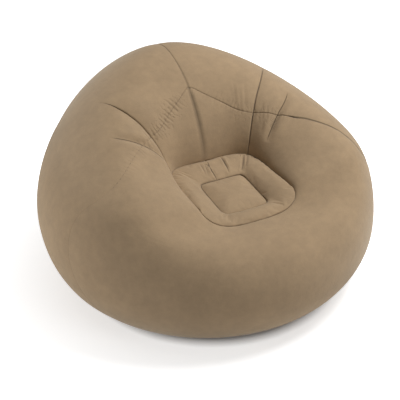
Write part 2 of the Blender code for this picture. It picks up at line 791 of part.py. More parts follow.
def build_valve_flap():
    disc = valve_cylinder("flap_disc", FLAP_RADIUS, FLAP_RADIUS, FLAP_TOP - FLAP_THICKNESS, FLAP_TOP)
    flap = moulded("valve_check_flap", disc, MOULDED_TAUPE)
    tab_start = FLAP_RADIUS - SMALL_STRAP_WIDTH / 2
    tab_end = FLAP_HINGE_RISE + STRAP_PAST_FLAP_HINGE
    tab = valve_block(
        "flap_tab", SMALL_STRAP_WIDTH, FLAP_TOP - FLAP_THICKNESS, FLAP_TOP, tab_start, tab_end
    )
    combine(flap, tab, "UNION")
    set_origin(flap, at_valve(FLAP_TOP - FLAP_THICKNESS / 2, FLAP_HINGE_RISE))


def build_valve_cap():
    disc = valve_cylinder("cap_disc", CAP_RADIUS, CAP_RADIUS, CAP_UNDER, CAP_UNDER + CAP_THICKNESS)
    cap = moulded("valve_cap", disc, MOULDED_CREAM)
    plug_radius = FILLING_BORE_RADIUS - WELD_GAP
    plug_end = CAP_UNDER + CAP_THICKNESS / 2
    plug = valve_cylinder(
        "cap_plug", plug_radius - CAP_PLUG_TAPER, plug_radius, CAP_UNDER - CAP_PLUG_DEPTH, plug_end
    )
    combine(cap, plug, "UNION")
    tab_top = -(CAP_RADIUS - SMALL_STRAP_WIDTH / 2)
    tab_end = -(CAP_HINGE_DROP + STRAP_PAST_CAP_HINGE)
    tab = valve_block(
        "cap_tab", SMALL_STRAP_WIDTH, CAP_UNDER, CAP_UNDER + CAP_THICKNESS, tab_end, tab_top
    )
    combine(cap, tab, "UNION")
    set_origin(cap, at_valve(CAP_UNDER + CAP_THICKNESS / 2, -CAP_HINGE_DROP))


build_front_panel()
for side_name, side_sign in (("left", 1), ("right", -1)):
    build_side_panel(f"side_{side_name}_panel", side_sign)
    build_crown_panel(f"crown_{side_name}_panel", side_sign)
    build_inner_back_panel(f"back_{side_name}_inner_panel", side_sign)
build_rear_panel()
build_seat_ring()
build_seat_centre()
build_base()
build_drum()
for web_side in WEB_SIDES:
    build_tie_strip(web_side)
build_valve_flange()
build_valve_stopper()
build_valve_flap()
build_valve_cap()
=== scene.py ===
# %% [markdown]
# # An inflatable armchair of flocked film
#
# The chair is a closed bag of soft vinyl film, blown up with air. Its outside is flocked: short
# fibres stand on the film and make it look like suede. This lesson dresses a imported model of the
# chair: it keeps the model's places and sizes, and makes every skin again with finer folds,
# seams and materials.

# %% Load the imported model
import math

import bmesh
import bpy
import numpy as np
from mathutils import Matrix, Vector, kdtree


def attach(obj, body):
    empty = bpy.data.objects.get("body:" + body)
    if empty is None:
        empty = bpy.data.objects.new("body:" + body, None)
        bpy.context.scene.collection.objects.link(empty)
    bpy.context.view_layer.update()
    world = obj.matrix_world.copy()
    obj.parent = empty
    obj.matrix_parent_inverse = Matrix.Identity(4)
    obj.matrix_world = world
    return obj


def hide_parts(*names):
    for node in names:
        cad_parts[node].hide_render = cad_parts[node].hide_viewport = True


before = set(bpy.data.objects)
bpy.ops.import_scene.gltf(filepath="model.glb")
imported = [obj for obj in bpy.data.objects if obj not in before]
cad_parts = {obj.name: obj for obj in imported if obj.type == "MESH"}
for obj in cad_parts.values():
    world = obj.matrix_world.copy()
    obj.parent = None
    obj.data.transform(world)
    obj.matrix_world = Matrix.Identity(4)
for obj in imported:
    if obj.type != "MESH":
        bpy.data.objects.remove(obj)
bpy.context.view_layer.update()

# %% [markdown]
# ## Camera
#
# The photograph was taken from a little to the left of the chair's front and about thirty degrees
# above it, with a long lens. The camera's place was found by fitting the chair's outline, so it
# is given as an angle round the chair, an angle above the floor and a distance.

# %% Place the camera
CAMERA_ROUND, CAMERA_ABOVE = math.radians(-27.80), math.radians(30.49)
CAMERA_DISTANCE = 2.747
LOOK_AT = Vector((0, 0, 0.286))
LENS, SENSOR = 69.25, 36
SHIFT = (-0.01675, -0.0316)


def add_object(name, data):
    thing = bpy.data.objects.new(name, data)
    bpy.context.scene.collection.objects.link(thing)
    return thing


def make_camera():
    level = math.cos(CAMERA_ABOVE)
    x, y = math.sin(CAMERA_ROUND) * level, -math.cos(CAMERA_ROUND) * level
    back = Vector((x, y, math.sin(CAMERA_ABOVE)))
    data = bpy.data.cameras.new("camera")
    data.lens, data.sensor_width = LENS, SENSOR
    data.shift_x, data.shift_y = SHIFT
    camera = add_object("camera", data)
    camera.location = LOOK_AT + back * CAMERA_DISTANCE
    camera.rotation_euler = (-back).to_track_quat("-Z", "Y").to_euler()
    bpy.context.scene.camera = camera
    return camera


camera = make_camera()
print("camera at", [round(c, 3) for c in camera.location])

# %% [markdown]
# ## Nodes by script
#
# Materials, the glow of the floor and the geometry trees are all made of nodes. In the editor
# they are placed by hand. In a script one helper adds a node, sets it up and joins it to what
# came before, so that each tree below reads like a recipe.

# %% Helpers for nodes
def step(tree, kind, inputs=None, **settings):
    """Adds one node, sets it up, links or fills its inputs, and gives its outputs."""
    node = tree.nodes.new(kind)
    for key, value in settings.items():
        setattr(node, key, value)
    for key, value in (inputs or {}).items():
        if isinstance(value, bpy.types.NodeSocket):
            tree.links.new(value, node.inputs[key])
        else:
            node.inputs[key].default_value = value
    return node.outputs


def empty_tree(owner):
    owner.use_nodes = True
    owner.node_tree.nodes.clear()
    return owner.node_tree


def maths(tree, operation, *values):
    return step(tree, "ShaderNodeMath", dict(enumerate(values)), operation=operation)[0]


def times(tree, product, *factors):
    for factor in factors:
        product = maths(tree, "MULTIPLY", product, factor)
    return product


def spread(tree, value, low, high, from_low=0.3, from_high=0.7):
    """The value stretched from one range to another."""
    ranges = {"From Min": from_low, "From Max": from_high, "To Min": low, "To Max": high}
    return step(tree, "ShaderNodeMapRange", {"Value": value, **ranges})["Result"]


print("node helpers: step, empty_tree, maths, times, spread")

# %% [markdown]
# ## Studio
#
# The chair stands on a white floor that runs up to a white sky. The floor is matt and pale, and
# for the camera alone it glows, so it reads as white. The glow fades out under the chair, where
# the shadow of the bulge lies: this edge of the glow paints a dark contact shadow round the base.
# Further out the glow grows stronger and paints light over the lamps' shadows. A large lamp high
# on the right makes the shading. Weaker lamps from the front, the left and the right open the
# shadows.

# %% Floor, sky and lamps
FLOOR_RADIUS, FLOOR_CORNERS, FLOOR_DROP = 14, 96, 0.0005
FLOOR_COLOUR = (0.80, 0.80, 0.80)
BASE_MIDDLE = (0, -0.037, 0)
# Painted shadow and light: no glow near the base paints a contact shadow, more glow further out
# paints over the lamps' shadows
CONTACT_SHADOW_GLOW, CONTACT_SHADOW_RADII = 0.57, (0.445, 0.486)
SHADOW_HIDING_GLOW, SHADOW_HIDING_RADII = 0.33, (0.52, 0.90)
SKY_LIGHT = 0.24
# Each lamp: its place, its size and its power
LAMPS = {
    "key": ((1.5, -0.5, 3.5), 1.5, 104),
    "front": ((1.4, -3.0, 1.3), 1.4, 22),
    "left": ((-3.0, 0.7, 0.5), 0.8, 39),
    "right": ((3.2, 0.8, 0.9), 0.8, 6),
}
LAMPS_AIM = Vector((0, 0, 0.3))


def camera_share(tree):
    """1 for rays that the camera, a mirror or a clear piece sees, and 0 for light."""
    rays = step(tree, "ShaderNodeLightPath")
    seen = maths(tree, "MAXIMUM", rays["Is Camera Ray"], rays["Is Glossy Ray"])
    return maths(tree, "MAXIMUM", seen, rays["Is Transmission Ray"])


def studio_white():
    """Matt white that glows for the camera in two steps away from the base's middle: painted shadow
    near, painted light far.
    """
    material = bpy.data.materials.new("studio_white")
    tree = empty_tree(material)
    place = step(tree, "ShaderNodeTexCoord")["Object"]
    distance = {0: place, 1: BASE_MIDDLE}
    away = step(tree, "ShaderNodeVectorMath", distance, operation="DISTANCE")["Value"]
    near = spread(tree, away, 0, CONTACT_SHADOW_GLOW, *CONTACT_SHADOW_RADII)
    far = spread(tree, away, 0, SHADOW_HIDING_GLOW, *SHADOW_HIDING_RADII)
    strength = times(tree, camera_share(tree), maths(tree, "ADD", near, far))
    glow = step(tree, "ShaderNodeEmission", {"Strength": strength})[0]
    matt = step(tree, "ShaderNodeBsdfDiffuse", {"Color": (*FLOOR_COLOUR, 1)})[0]
    both = step(tree, "ShaderNodeAddShader", {0: matt, 1: glow})[0]
    step(tree, "ShaderNodeOutputMaterial", {"Surface": both})
    return material


def make_floor():
    bm = bmesh.new()
    bmesh.ops.create_circle(bm, cap_ends=True, segments=FLOOR_CORNERS, radius=FLOOR_RADIUS)
    mesh = bpy.data.meshes.new("studio_floor")
    bm.to_mesh(mesh)
    bm.free()
    mesh.materials.append(studio_white())
    floor = add_object("studio_floor", mesh)
    floor.location.z = -FLOOR_DROP


def make_sky():
    world = bpy.data.worlds.new("studio_sky")
    bpy.context.scene.world = world
    tree = empty_tree(world)
    soft = step(tree, "ShaderNodeBackground", {"Strength": SKY_LIGHT})[0]
    white = step(tree, "ShaderNodeBackground", {"Color": (1, 1, 1, 1)})[0]
    mix = step(tree, "ShaderNodeMixShader", {0: camera_share(tree), 1: soft, 2: white})[0]
    step(tree, "ShaderNodeOutputWorld", {"Surface": mix})


def make_lamp(name, place, size, power):
    data = bpy.data.lights.new(name, "AREA")
    data.shape, data.size, data.energy = "DISK", size, power
    lamp = add_object(name, data)
    lamp.location = place
    lamp.rotation_euler = (LAMPS_AIM - Vector(place)).to_track_quat("-Z", "Y").to_euler()


make_floor()
make_sky()
for name, values in LAMPS.items():
    make_lamp(name, *values)
bpy.context.scene.view_settings.view_transform = "Standard"
print("lamps:", ", ".join(LAMPS))

# %% [markdown]
# ## Patterns
#
# A real surface is never one even colour. A picture of flock could be wrapped round the chair,
# but it would stretch at the seams and repeat. Noise in object coordinates has no seams, so
# every material here gets its shade, its roughness and its bumps from it. What is the same all
# over stays a plain value on the shader.

# %% Helpers for materials
def noise(tree, scale, detail=2.0, roughness=0.5):
    """Noise in object coordinates, as a value from about 0.3 to 0.7. Scale is cells per metre."""
    place = step(tree, "ShaderNodeTexCoord")["Object"]
    inputs = {"Vector": place, "Scale": scale, "Detail": detail, "Roughness": roughness}
    return step(tree, "ShaderNodeTexNoise", inputs)["Fac"]


def attribute(tree, name):
    return step(tree, "ShaderNodeAttribute", attribute_name=name)["Fac"]


def make_material(name, colour, roughness, patterns, **sockets):
    """A Principled material. Patterns makes what varies: a shade, a roughness and bumps."""
    material = bpy.data.materials.new(name)
    tree = empty_tree(material)
    plain = {"Base Color": (*colour, 1), "Roughness": roughness}
    plain.update({key.replace("_", " "): value for key, value in sockets.items()})
    surface = step(tree, "ShaderNodeBsdfPrincipled", plain)[0]
    step(tree, "ShaderNodeOutputMaterial", {"Surface": surface})
    shade, worn, bumps = patterns(tree)
    tint = step(tree, "ShaderNodeVectorMath", {0: colour, "Scale": shade}, operation="SCALE")
    varied = {"Base Color": tint["Vector"], "Roughness": worn}
    before = {}
    for height, tall in bumps:
        bump = {"Strength": 1, "Distance": tall, "Height": height, **before}
        before = {"Normal": step(tree, "ShaderNodeBump", bump)["Normal"]}
    for key, value in {**varied, **before}.items():
        tree.links.new(value, surface.node.inputs[key])
    return material


print("materials so far:", len(bpy.data.materials))

# %% [markdown]
# ## Wrinkles and creases drawn by the material
#
# Beside a pulled weld the film stands in wrinkles a few millimetres wide. As geometry they would
# need millions of faces. So each skin carries attributes, such as the run along the weld and the
# distance from it, and the material makes waves and lines of them, which stay sharp at any size:
# bumps, with painted shade in the wrinkles' grooves and along the creases.

# %% Wrinkles and creases
WRINKLE_SPACING, WRINKLE_REACH, WRINKLE_SHARPNESS = 0.0150, 0.050, 1.5
WRINKLE_WOBBLE = 7.0
CREASE_HALF = 0.0027


def wrinkles(tree):
    """Narrow ridges square to the ring weld, of uneven length, as a height from 0 to 1."""
    run = times(tree, attribute(tree, "weld_run"), 2 * math.pi / WRINKLE_SPACING)
    wobble = times(tree, noise(tree, 26, 1), WRINKLE_WOBBLE)
    wave = maths(tree, "SINE", maths(tree, "ADD", run, wobble))
    ridge = maths(tree, "POWER", spread(tree, wave, 0, 1, -1, 1), WRINKLE_SHARPNESS)
    reach = spread(tree, noise(tree, 60, 1), 0.2 * WRINKLE_REACH, WRINKLE_REACH, 0.38, 0.62)
    share = maths(tree, "DIVIDE", attribute(tree, "weld_away"), reach)
    return times(tree, ridge, spread(tree, share, 1, 0, 0.35, 1), attribute(tree, "weld_pull"))


def creases(tree):
    """Narrow lines of painted shade where the distance to a fold passes through zero, from 0 to 1.
    """
    away = maths(tree, "ABSOLUTE", attribute(tree, "fold_side"))
    dark = spread(tree, attribute(tree, "fold_dark"), 0, 1, 0.05, 0.65)
    return times(tree, spread(tree, away, 1, 0, 0, CREASE_HALF), dark)


print("a wrinkle every", WRINKLE_SPACING * 1000, "mm")

# %% [markdown]
# ## Flocked film
#
# Flock is a nap of fibres half a millimetre long. It shows as a fine grain, as cloudy patches
# where the fibres lean different ways, and as a pale sheen where the surface turns away. Hair
# would be far too heavy for a nap this short, so sheen and bumps stand for it. Near a weld the
# fibres are pressed flat and look darker, and the same darkening is painted shade in the weld's
# groove. The material also paints shade into the wrinkles' grooves and along the creases.

# %% The flocked taupe
TAUPE = (0.345, 0.244, 0.146)


def nap(tree):
    strokes, grain = noise(tree, 38, 3, 0.6), noise(tree, 900, 2, 0.6)
    pulled, creased = wrinkles(tree), creases(tree)
    shade = times(
        tree,
        spread(tree, noise(tree, 9), 0.95, 1.045),
        spread(tree, strokes, 0.925, 1.06),
        spread(tree, grain, 0.90, 1.09),
        # Painted shade in the seam grooves, partly the pressed nap
        spread(tree, attribute(tree, "seam_shade_and_press"), 1.0, 0.42, 0, 1),
        # Painted shade in the wrinkles' grooves
        spread(tree, pulled, 1, 0.91, 0, 1),
        # Painted shade along the creases
        spread(tree, creased, 1, 0.27, 0, 1),
    )
    dimples = [(noise(tree, 55), 0.0007), (noise(tree, 240), 0.0002), (grain, 0.00016)]
    lines = [(pulled, -0.0019), (creased, -0.001)]
    return shade, spread(tree, strokes, 0.82, 0.96), dimples + lines


SHEEN = {"Sheen_Weight": 0.28, "Sheen_Roughness": 0.45, "Sheen_Tint": (1.0, 0.93, 0.82, 1)}
FLOCKED = make_material("flocked_taupe", TAUPE, 0.9, nap, Specular_IOR_Level=0.2, **SHEEN)
print("material:", FLOCKED.name)

# %% [markdown]
# ## The smooth shape
#
# The bag runs round the seat like a tyre that is tall at the back. It could be sculpted, or blown
# up from flat panels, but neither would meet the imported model's edges. So it follows a rule. Four
# closed rings give its shape: the seam round the seat, the ridge on top, the bulge at the widest
# and the edge of the base. Quarter arcs join them. A place on the bag has an angle round the
# chair, 0 at the front, and a girth: 0 on the seat seam, 1 on the ridge, 2 on the bulge and 3 on
# the floor.

# %% Rings and arcs
# Each ring: half width, front, widest line, back, heights at front, side and back, squareness
RINGS = {
    "seat": (0.172, -0.353, -0.261, 0.015, 0.346, 0.388, 0.386, 3.4, 4.4),
    "ridge": (0.4195, -0.456, -0.306, 0.3378, 0.362, 0.480, 0.719, 2.08, 1.87),
    "bulge": (0.600, -0.582, -0.023, 0.5748, 0.190, 0.231, 0.335, 1.94, 2.09),
    "floor": (0.3825, -0.420, -0.049, 0.3468, 0, 0, 0, 2.06, 2.06),
}
HANDLE_SHARES = (0.46, 0.55, 0.54)
RIDGE, BULGE, FLOOR = 1, 2, 3


def signed_power(values, power):
    return np.sign(values) * np.abs(values) ** power


def ring_points(name, angle):
    half, front, widest, back, low, side, high, front_square, back_square = RINGS[name]
    forward = -np.cos(angle)
    at_back = forward > 0
    power = 2 / np.where(at_back, back_square, front_square)
    reach = np.where(at_back, back - widest, widest - front)
    x = half * signed_power(np.sin(angle), power)
    y = widest + reach * signed_power(forward, power)
    z = side + (high - low) / 2 * forward + ((high + low) / 2 - side) * forward**2
    return np.stack([x, y, z], axis=-1)


def quarter_arc(start, end, handle, share, rises_first):
    """A cubic arc that leaves start upright and ends level, or the other way round."""
    rise = (end - start) * (0, 0, 1)
    reach = (end - start) * (1, 1, 0)
    first, last = (rise, reach) if rises_first else (reach, rise)
    near, far = start + first * handle, end - last * handle
    rest = 1 - share
    return rest**3 * start + 3 * rest**2 * share * near + 3 * rest * share**2 * far + share**3 * end


def three_arcs(angle, girth):
    seat, ridge, bulge, floor = (ring_points(name, angle) for name in RINGS)
    girth = np.asarray(girth)[..., None]
    inner = quarter_arc(seat, ridge, HANDLE_SHARES[0], girth, True)
    outer = quarter_arc(ridge, bulge, HANDLE_SHARES[1], girth - RIDGE, False)
    lower = quarter_arc(bulge, floor, HANDLE_SHARES[2], girth - BULGE, True)
    return np.where(girth < RIDGE, inner, np.where(girth < BULGE, outer, lower))


print("widths of the rings:", {name: 2 * ring[0] for name, ring in RINGS.items()})

# %% [markdown]
# ## Rounding the ridge
#
# Three arcs meet in a slight edge on the ridge, and the halves of each ring meet in another
# beside the chair, while air makes film round. A moving average along the surface rounds both
# off, as a smoothing brush would, and can be worked out for any single place.

# %% Places and directions on the bag
TAPS = np.linspace(-2, 2, 9)
TAP_WEIGHTS = np.exp(-(TAPS**2) / 2) / np.sum(np.exp(-(TAPS**2) / 2))
RIDGE_BLUR, RIDGE_REACH = 0.16, 0.42
SIDE_BLUR, SIDE_REACH = math.radians(6), math.radians(17)
SIDE_FADE, LEAST_BLUR = 0.5, math.radians(0.05)
TINY = 1e-9


def rounded_arcs(angle, girth):
    """The arcs after a moving average over the girth, which rounds off the ridge."""
    blur = RIDGE_BLUR * np.exp(-(((girth - RIDGE) / RIDGE_REACH) ** 4))
    blur = np.minimum(blur, np.minimum(girth, FLOOR - girth) / 2)
    taps = zip(TAPS, TAP_WEIGHTS)
    return sum(weight * three_arcs(angle, girth + tap * blur) for tap, weight in taps)


def surface_points(angle, girth):
    """Places on the bag. Beside the widest line a second average runs over the angle."""
    angle, girth = (np.array(values, float) for values in np.broadcast_arrays(angle, girth))
    places = rounded_arcs(angle, girth)
    from_side = np.abs(np.abs((angle + math.pi) % (2 * math.pi) - math.pi) - math.pi / 2)
    blur = SIDE_BLUR * np.exp(-((from_side / SIDE_REACH) ** 4)) * np.clip(girth / SIDE_FADE, 0, 1)
    beside = blur > LEAST_BLUR
    if np.any(beside):
        turn, height, width = angle[beside], girth[beside], blur[beside]
        taps = zip(TAPS, TAP_WEIGHTS)
        places[beside] = sum(
            weight * rounded_arcs(turn + tap * width, height) for tap, weight in taps
        )
    return places


def unit(vectors):
    return vectors / np.maximum(np.linalg.norm(vectors, axis=-1, keepdims=True), 1e-12)


def surface_normals(angle, girth, near=1e-3):
    before, after = np.clip(girth - near, 0, FLOOR), np.clip(girth + near, 0, FLOOR)
    along = surface_points(angle, after) - surface_points(angle, before)
    around = surface_points(angle + near, girth) - surface_points(angle - near, girth)
    return unit(np.cross(along, around))


crown_top = surface_points(math.pi, RIDGE)
print("top of the back:", crown_top.round(3))

# %% [markdown]
# ## Where the seams run
#
# The bag is welded from panels. Corner seams climb out of the well on both sides, a ring seam
# runs round the back and down both flanks, one seam follows the middle of the back, and one
# crosses it behind. Each is a rule in angle and girth too, so the panels can be cut along it.

# %% Seam rules
REAR_SEAM = 1.6
CORNER = math.radians(133)
RING_SEAM_SHARES = (0.53, -0.49, 0.31, 0.19)
APEX_DIP, APEX_REACH = 0.0225, 0.10
SIDES = (("left", 1), ("right", -1))


def ring_seam_girth(angle):
    """Girth of the seam that runs round the back and down both sides."""
    turn = math.pi - np.abs(angle)
    dip = APEX_DIP * turn / APEX_REACH * np.exp(1 - turn / APEX_REACH)
    return np.polynomial.polynomial.polyval(turn, RING_SEAM_SHARES) - dip


JUNCTION = float(ring_seam_girth(CORNER))


def front_turn(girth):
    """Half the front panel's turn: the corner seam in the well, the ring seam past it."""
    samples = np.linspace(CORNER, 0, 800)
    past = np.interp(girth, ring_seam_girth(samples), samples)
    return np.where(girth <= JUNCTION, CORNER, past)


print("the seams meet at girth", round(JUNCTION, 3))

# %% [markdown]
# ## Lines of points
#
# To sink a seam, a skin has to know how far each of its points lies from it. Curves in Blender
# can be asked for their nearest point, but slowly and one at a time. Here a seam is a line of
# hundreds of points in a search tree, which answers for a whole grid and also gives the run
# along the seam. Two skins that share a seam ask the same line, so they always match.

# %% Lines on the surface
MEASURED = 0.08
SEAM_SAMPLES, RING_SAMPLES, FOLD_SAMPLES = 600, 700, 120


class Line:
    """A line of points on the bag, with the run along it and strengths that vary on the way."""

    def __init__(self, angle, girth, samples=SEAM_SAMPLES, strengths=None, by_turn=False):
        share, grid = np.linspace(0, 1, samples), np.linspace(0, 1, len(angle))
        self.angle = np.interp(share, grid, angle)
        self.girth = np.interp(share, grid, girth)
        self.points = surface_points(self.angle, self.girth)
        steps = np.linalg.norm(np.diff(self.points, axis=0), axis=-1)
        self.run = np.insert(np.cumsum(steps), 0, 0)
        self.step = np.gradient(self.run)
        self.tangent = unit(np.gradient(self.points, axis=0))
        self.length = self.run[-1]
        if strengths:
            place = np.degrees(np.abs(self.angle)) if by_turn else self.girth
            stops, *columns = np.array(sorted(strengths)).T
            tables = (np.interp(place, stops, column) for column in columns)
            self.valley, self.groove, self.pucker = tables

    def measure(self, points):
        """Distance from the line, run along it and nearest sample, for an array of points."""
        tree = kdtree.KDTree(len(self.points))
        for index, point in enumerate(self.points):
            tree.insert(point, index)
        tree.balance()
        flat = points.reshape(-1, 3)
        low, high = self.points.min(axis=0) - MEASURED, self.points.max(axis=0) + MEASURED
        inside = np.all((flat > low) & (flat < high), axis=-1)
        nearest = np.zeros(len(flat), int)
        nearest[inside] = [tree.find(point)[1] for point in flat[inside]]
        offset = flat - self.points[nearest]
        ahead = np.sum(offset * self.tangent[nearest], axis=-1)
        ahead = np.clip(ahead, -self.step[nearest], self.step[nearest])
        away = np.linalg.norm(offset - self.tangent[nearest] * ahead[:, None], axis=-1)
        away[~inside] = MEASURED
        results = (away, self.run[nearest] + ahead, nearest)
        return tuple(values.reshape(points.shape[:-1]) for values in results)


front_ridge = Line((-1, 1), (RIDGE, RIDGE))
print("two radians of the front ridge:", round(float(front_ridge.length), 3), "m")

# %% [markdown]
# ## How strong each seam is
#
# The welds that shape the well are deep. Over the ridge they ease off and lie almost flush, and
# the weld on one side is puckered more than its twin. A sculptor would press harder or softer
# with the brush. Here a table gives the strengths at stops on the way, and the line fills in
# what lies between them.

# %% Strengths and seams
# At this girth, or turn in degrees for ring and rear: the shares of valley, groove and puckers
STRENGTHS = {
    "centre": (
        (0, 0.1, 0.1, 0.2), (0.12, 0.15, 0.4, 0.2), (0.28, 0.20, 0.55, 0.3),
        (0.45, 0.20, 0.60, 0.3), (0.56, 0.15, 0.35, 0.3), (1.0, 0.25, 0.40, 0.3),
        (1.6, 0.15, 0.25, 0.3),
    ),
    "rear": ((0, 0.20, 0.35, 0.6), (180, 0.20, 0.35, 0.6)),
    "corner_left": (
        (0, 0.3, 0.5, 0.2), (0.25, 0.7, 0.9, 0.3), (0.45, 1.0, 1.0, 0.3),
        (0.72, 0.8, 0.9, 0.3), (0.95, 0.3, 0.7, 0.2), (1.08, 0.08, 0.4, 0.1),
        (1.16, 0.04, 0.06, 0.1), (1.5, 0.06, 0.10, 0.2), (3, 0.10, 0.16, 0.4),
    ),
    "corner_right": (
        (0, 0.8, 0.7, 0.2), (0.25, 1.8, 1.2, 0.4), (0.50, 2.3, 1.2, 0.6),
        (0.72, 1.8, 1.1, 0.6), (0.88, 1.0, 0.9, 0.4), (0.98, 0.30, 0.50, 0.2),
        (1.05, 0.08, 0.20, 0.1), (1.11, 0.0, 0.0, 0.1), (1.5, 0.0, 0.0, 0.1),
        (1.9, 0.08, 0.10, 0.2), (3, 0.10, 0.16, 0.4),
    ),
    "ring_left": (
        (180, 0.25, 0.35, 0.2), (150, 0.20, 0.38, 0.4), (133, 0.25, 0.32, 0.3),
        (116, 0.22, 0.50, 0.1), (112, 0.20, 0.50, 0.1), (109, 0.06, 0.0, 0.0),
        (66, 0.04, 0.0, 0.0), (60, 0.10, 0.4, 0.1), (50, 0.10, 0.5, 0.2),
    ),
    "ring_right": (
        (180, 0.25, 0.25, 0.3), (172, 0.30, 0.20, 1.0), (140, 0.35, 0.20, 1.4),
        (133, 0.30, 0.15, 0.9), (116, 0.12, 0.10, 0.3), (100, 0.06, 0.08, 0.15),
        (94, 0.03, 0.05, 0.1), (80, 0.06, 0.14, 0.1), (50, 0.08, 0.20, 0.2),
    ),
}


def make_seams():
    up, over = np.linspace(0, FLOOR, 60), np.linspace(0, REAR_SEAM, 60)
    across = np.linspace(CORNER, 2 * math.pi - CORNER, 60)
    ring = np.linspace(math.pi, float(front_turn(FLOOR)), 160)
    places = {
        "centre": (np.full(60, math.pi), over, SEAM_SAMPLES),
        "rear": (across, np.full(60, REAR_SEAM), SEAM_SAMPLES),
    }
    for side, sign in SIDES:
        places[f"corner_{side}"] = (np.full(60, sign * CORNER), up, SEAM_SAMPLES)
        places[f"ring_{side}"] = (sign * ring, ring_seam_girth(ring), RING_SAMPLES)
    return {
        name: Line(*place, STRENGTHS[name], by_turn=name.startswith("r"))
        for name, place in places.items()
    }


SEAMS = make_seams()
print("seams:", {name: round(float(line.length), 3) for name, line in SEAMS.items()})

# %% [markdown]
# ## Profile of a seam
#
# Each seam is a weld of two films. Air pushes the films out and the weld holds them back, so a
# seam lies in a wide soft valley with a narrow groove in it, and short puckers run out from it
# on both sides. A cloth simulation makes such puckers, but not where the real ones are. So a
# skin sinks by a profile of two numbers, the distance from the seam and the run along it.

# %% Valleys, grooves and puckers
VALLEY_DEPTH, VALLEY_REACH = 0.009, 0.062
GROOVE_DEPTH, GROOVE_REACH = 0.0042, 0.0043
# Reach of the groove's darkening: pressed nap and painted shade
PRESSED_AND_SHADED_REACH, PUCKER_LIMIT = 0.0030, 0.06
FADE_AT_SEAT, FADE_AT_FLOOR = 0.12, 0.25
# Each seam: its seed, the depth of its puckers and how many metres lie between them
PUCKERS = {
    "centre": (3, 0.0012, 0.026),
    "rear": (5, 0.0014, 0.030),
    "corner_left": (7, 0.0015, 0.028),
    "corner_right": (11, 0.0015, 0.026),
    "ring_left": (13, 0.0013, 0.026),
    "ring_right": (17, 0.0030, 0.022),
}


def wander(run, seed, length):
    """A smooth random value from about -1 to 1 that changes over this length."""
    chance = np.random.default_rng(seed)
    total = np.zeros_like(run)
    for _ in range(5):
        wave = length * chance.uniform(0.7, 2.2)
        total += np.sin(2 * math.pi * (run / wave + chance.uniform())) / 2.2
    return np.clip(total, -1, 1)


def fading(away, reach):
    """1 on the line, 0 from this reach on."""
    return np.clip(1 - away / reach, 0, 1)


def puckers(away, run, seed, depth, spacing):
    """Narrow dents square to the seam. Each has its own depth and its own reach."""
    phase = math.pi * run / spacing + 1.3 * wander(run, seed, spacing * 5)
    dent = np.exp(-((np.sin(phase) / 0.42) ** 2)) - 0.33
    strength = 0.6 + 0.4 * wander(run, seed + 1, spacing * 3)
    reach = 0.034 + 0.016 * wander(run, seed + 2, spacing * 2)
    return depth * dent * strength * np.clip(away / 0.005, 0.5, 1) * fading(away, reach) ** 1.4


def seam_relief(points, girth):
    """How far the seams draw each point in, and how dark the groove is there, from 0 to 1: pressed
    nap and painted shade.
    """
    valley, groove, pucker, pressed_and_shaded = (np.zeros(points.shape[:2]) for _ in range(4))
    for name, line in SEAMS.items():
        away, run, nearest = line.measure(points)
        cut = line.groove[nearest]
        valley = np.maximum(valley, fading(away, VALLEY_REACH) ** 2 * line.valley[nearest])
        groove = np.maximum(groove, fading(away, GROOVE_REACH) ** 1.4 * cut)
        pressed_and_shaded = np.maximum(pressed_and_shaded, fading(away, PRESSED_AND_SHADED_REACH) * np.clip(1.5 * cut, 0, 1))
        if away.min() < PUCKER_LIMIT:
            pucker += puckers(away, run, *PUCKERS[name]) * line.pucker[nearest]
    fade = np.clip(girth / FADE_AT_SEAT, 0, 1) * np.clip((FLOOR - girth) / FADE_AT_FLOOR, 0, 1)
    sunk = VALLEY_DEPTH * valley * fade + GROOVE_DEPTH * groove * np.sqrt(fade) + pucker * fade
    return sunk, pressed_and_shaded


print("a pucker every", [spacing for *_, spacing in PUCKERS.values()], "m")

# %% [markdown]
# ## Values for the drawn wrinkles
#
# The material draws wrinkles from three numbers at each point of a skin. They are measured here
# from the ring seam of the point's own side. How wrinkled the film is changes along the seam,
# most on one side of the back, as in the photograph.

# %% Fine wrinkles beside the ring seam
# At this turn from the front: how strongly the weld wrinkles the film beside it
WRINKLES = {
    "left": ((180, 0.2), (160, 0.3), (146, 0.5), (133, 0.3), (122, 0.4), (110, 0.1), (50, 0)),
    "right": (
        (180, 0.0), (175, 0.4), (168, 1.0), (146, 1.0), (138, 0.8), (132, 0.5), (118, 0.4),
        (100, 0.15), (50, 0),
    ),
}


def wrinkle_values(points):
    """For each point: the run along its ring seam, the distance from it, and how wrinkled it is."""
    values = {key: np.zeros(points.shape[:2]) for key in ("weld_run", "weld_away", "weld_pull")}
    for side, _ in SIDES:
        here = points[..., 0] >= 0 if side == "left" else points[..., 0] < 0
        if not here.any():
            continue
        line = SEAMS[f"ring_{side}"]
        away, run, nearest = line.measure(points[here])
        turn, pull = np.array(sorted(WRINKLES[side])).T
        values["weld_run"][here] = run
        values["weld_away"][here] = away
        values["weld_pull"][here] = np.interp(np.degrees(np.abs(line.angle[nearest])), turn, pull)
    return values


print("stops:", {side: len(stops) for side, stops in WRINKLES.items()})
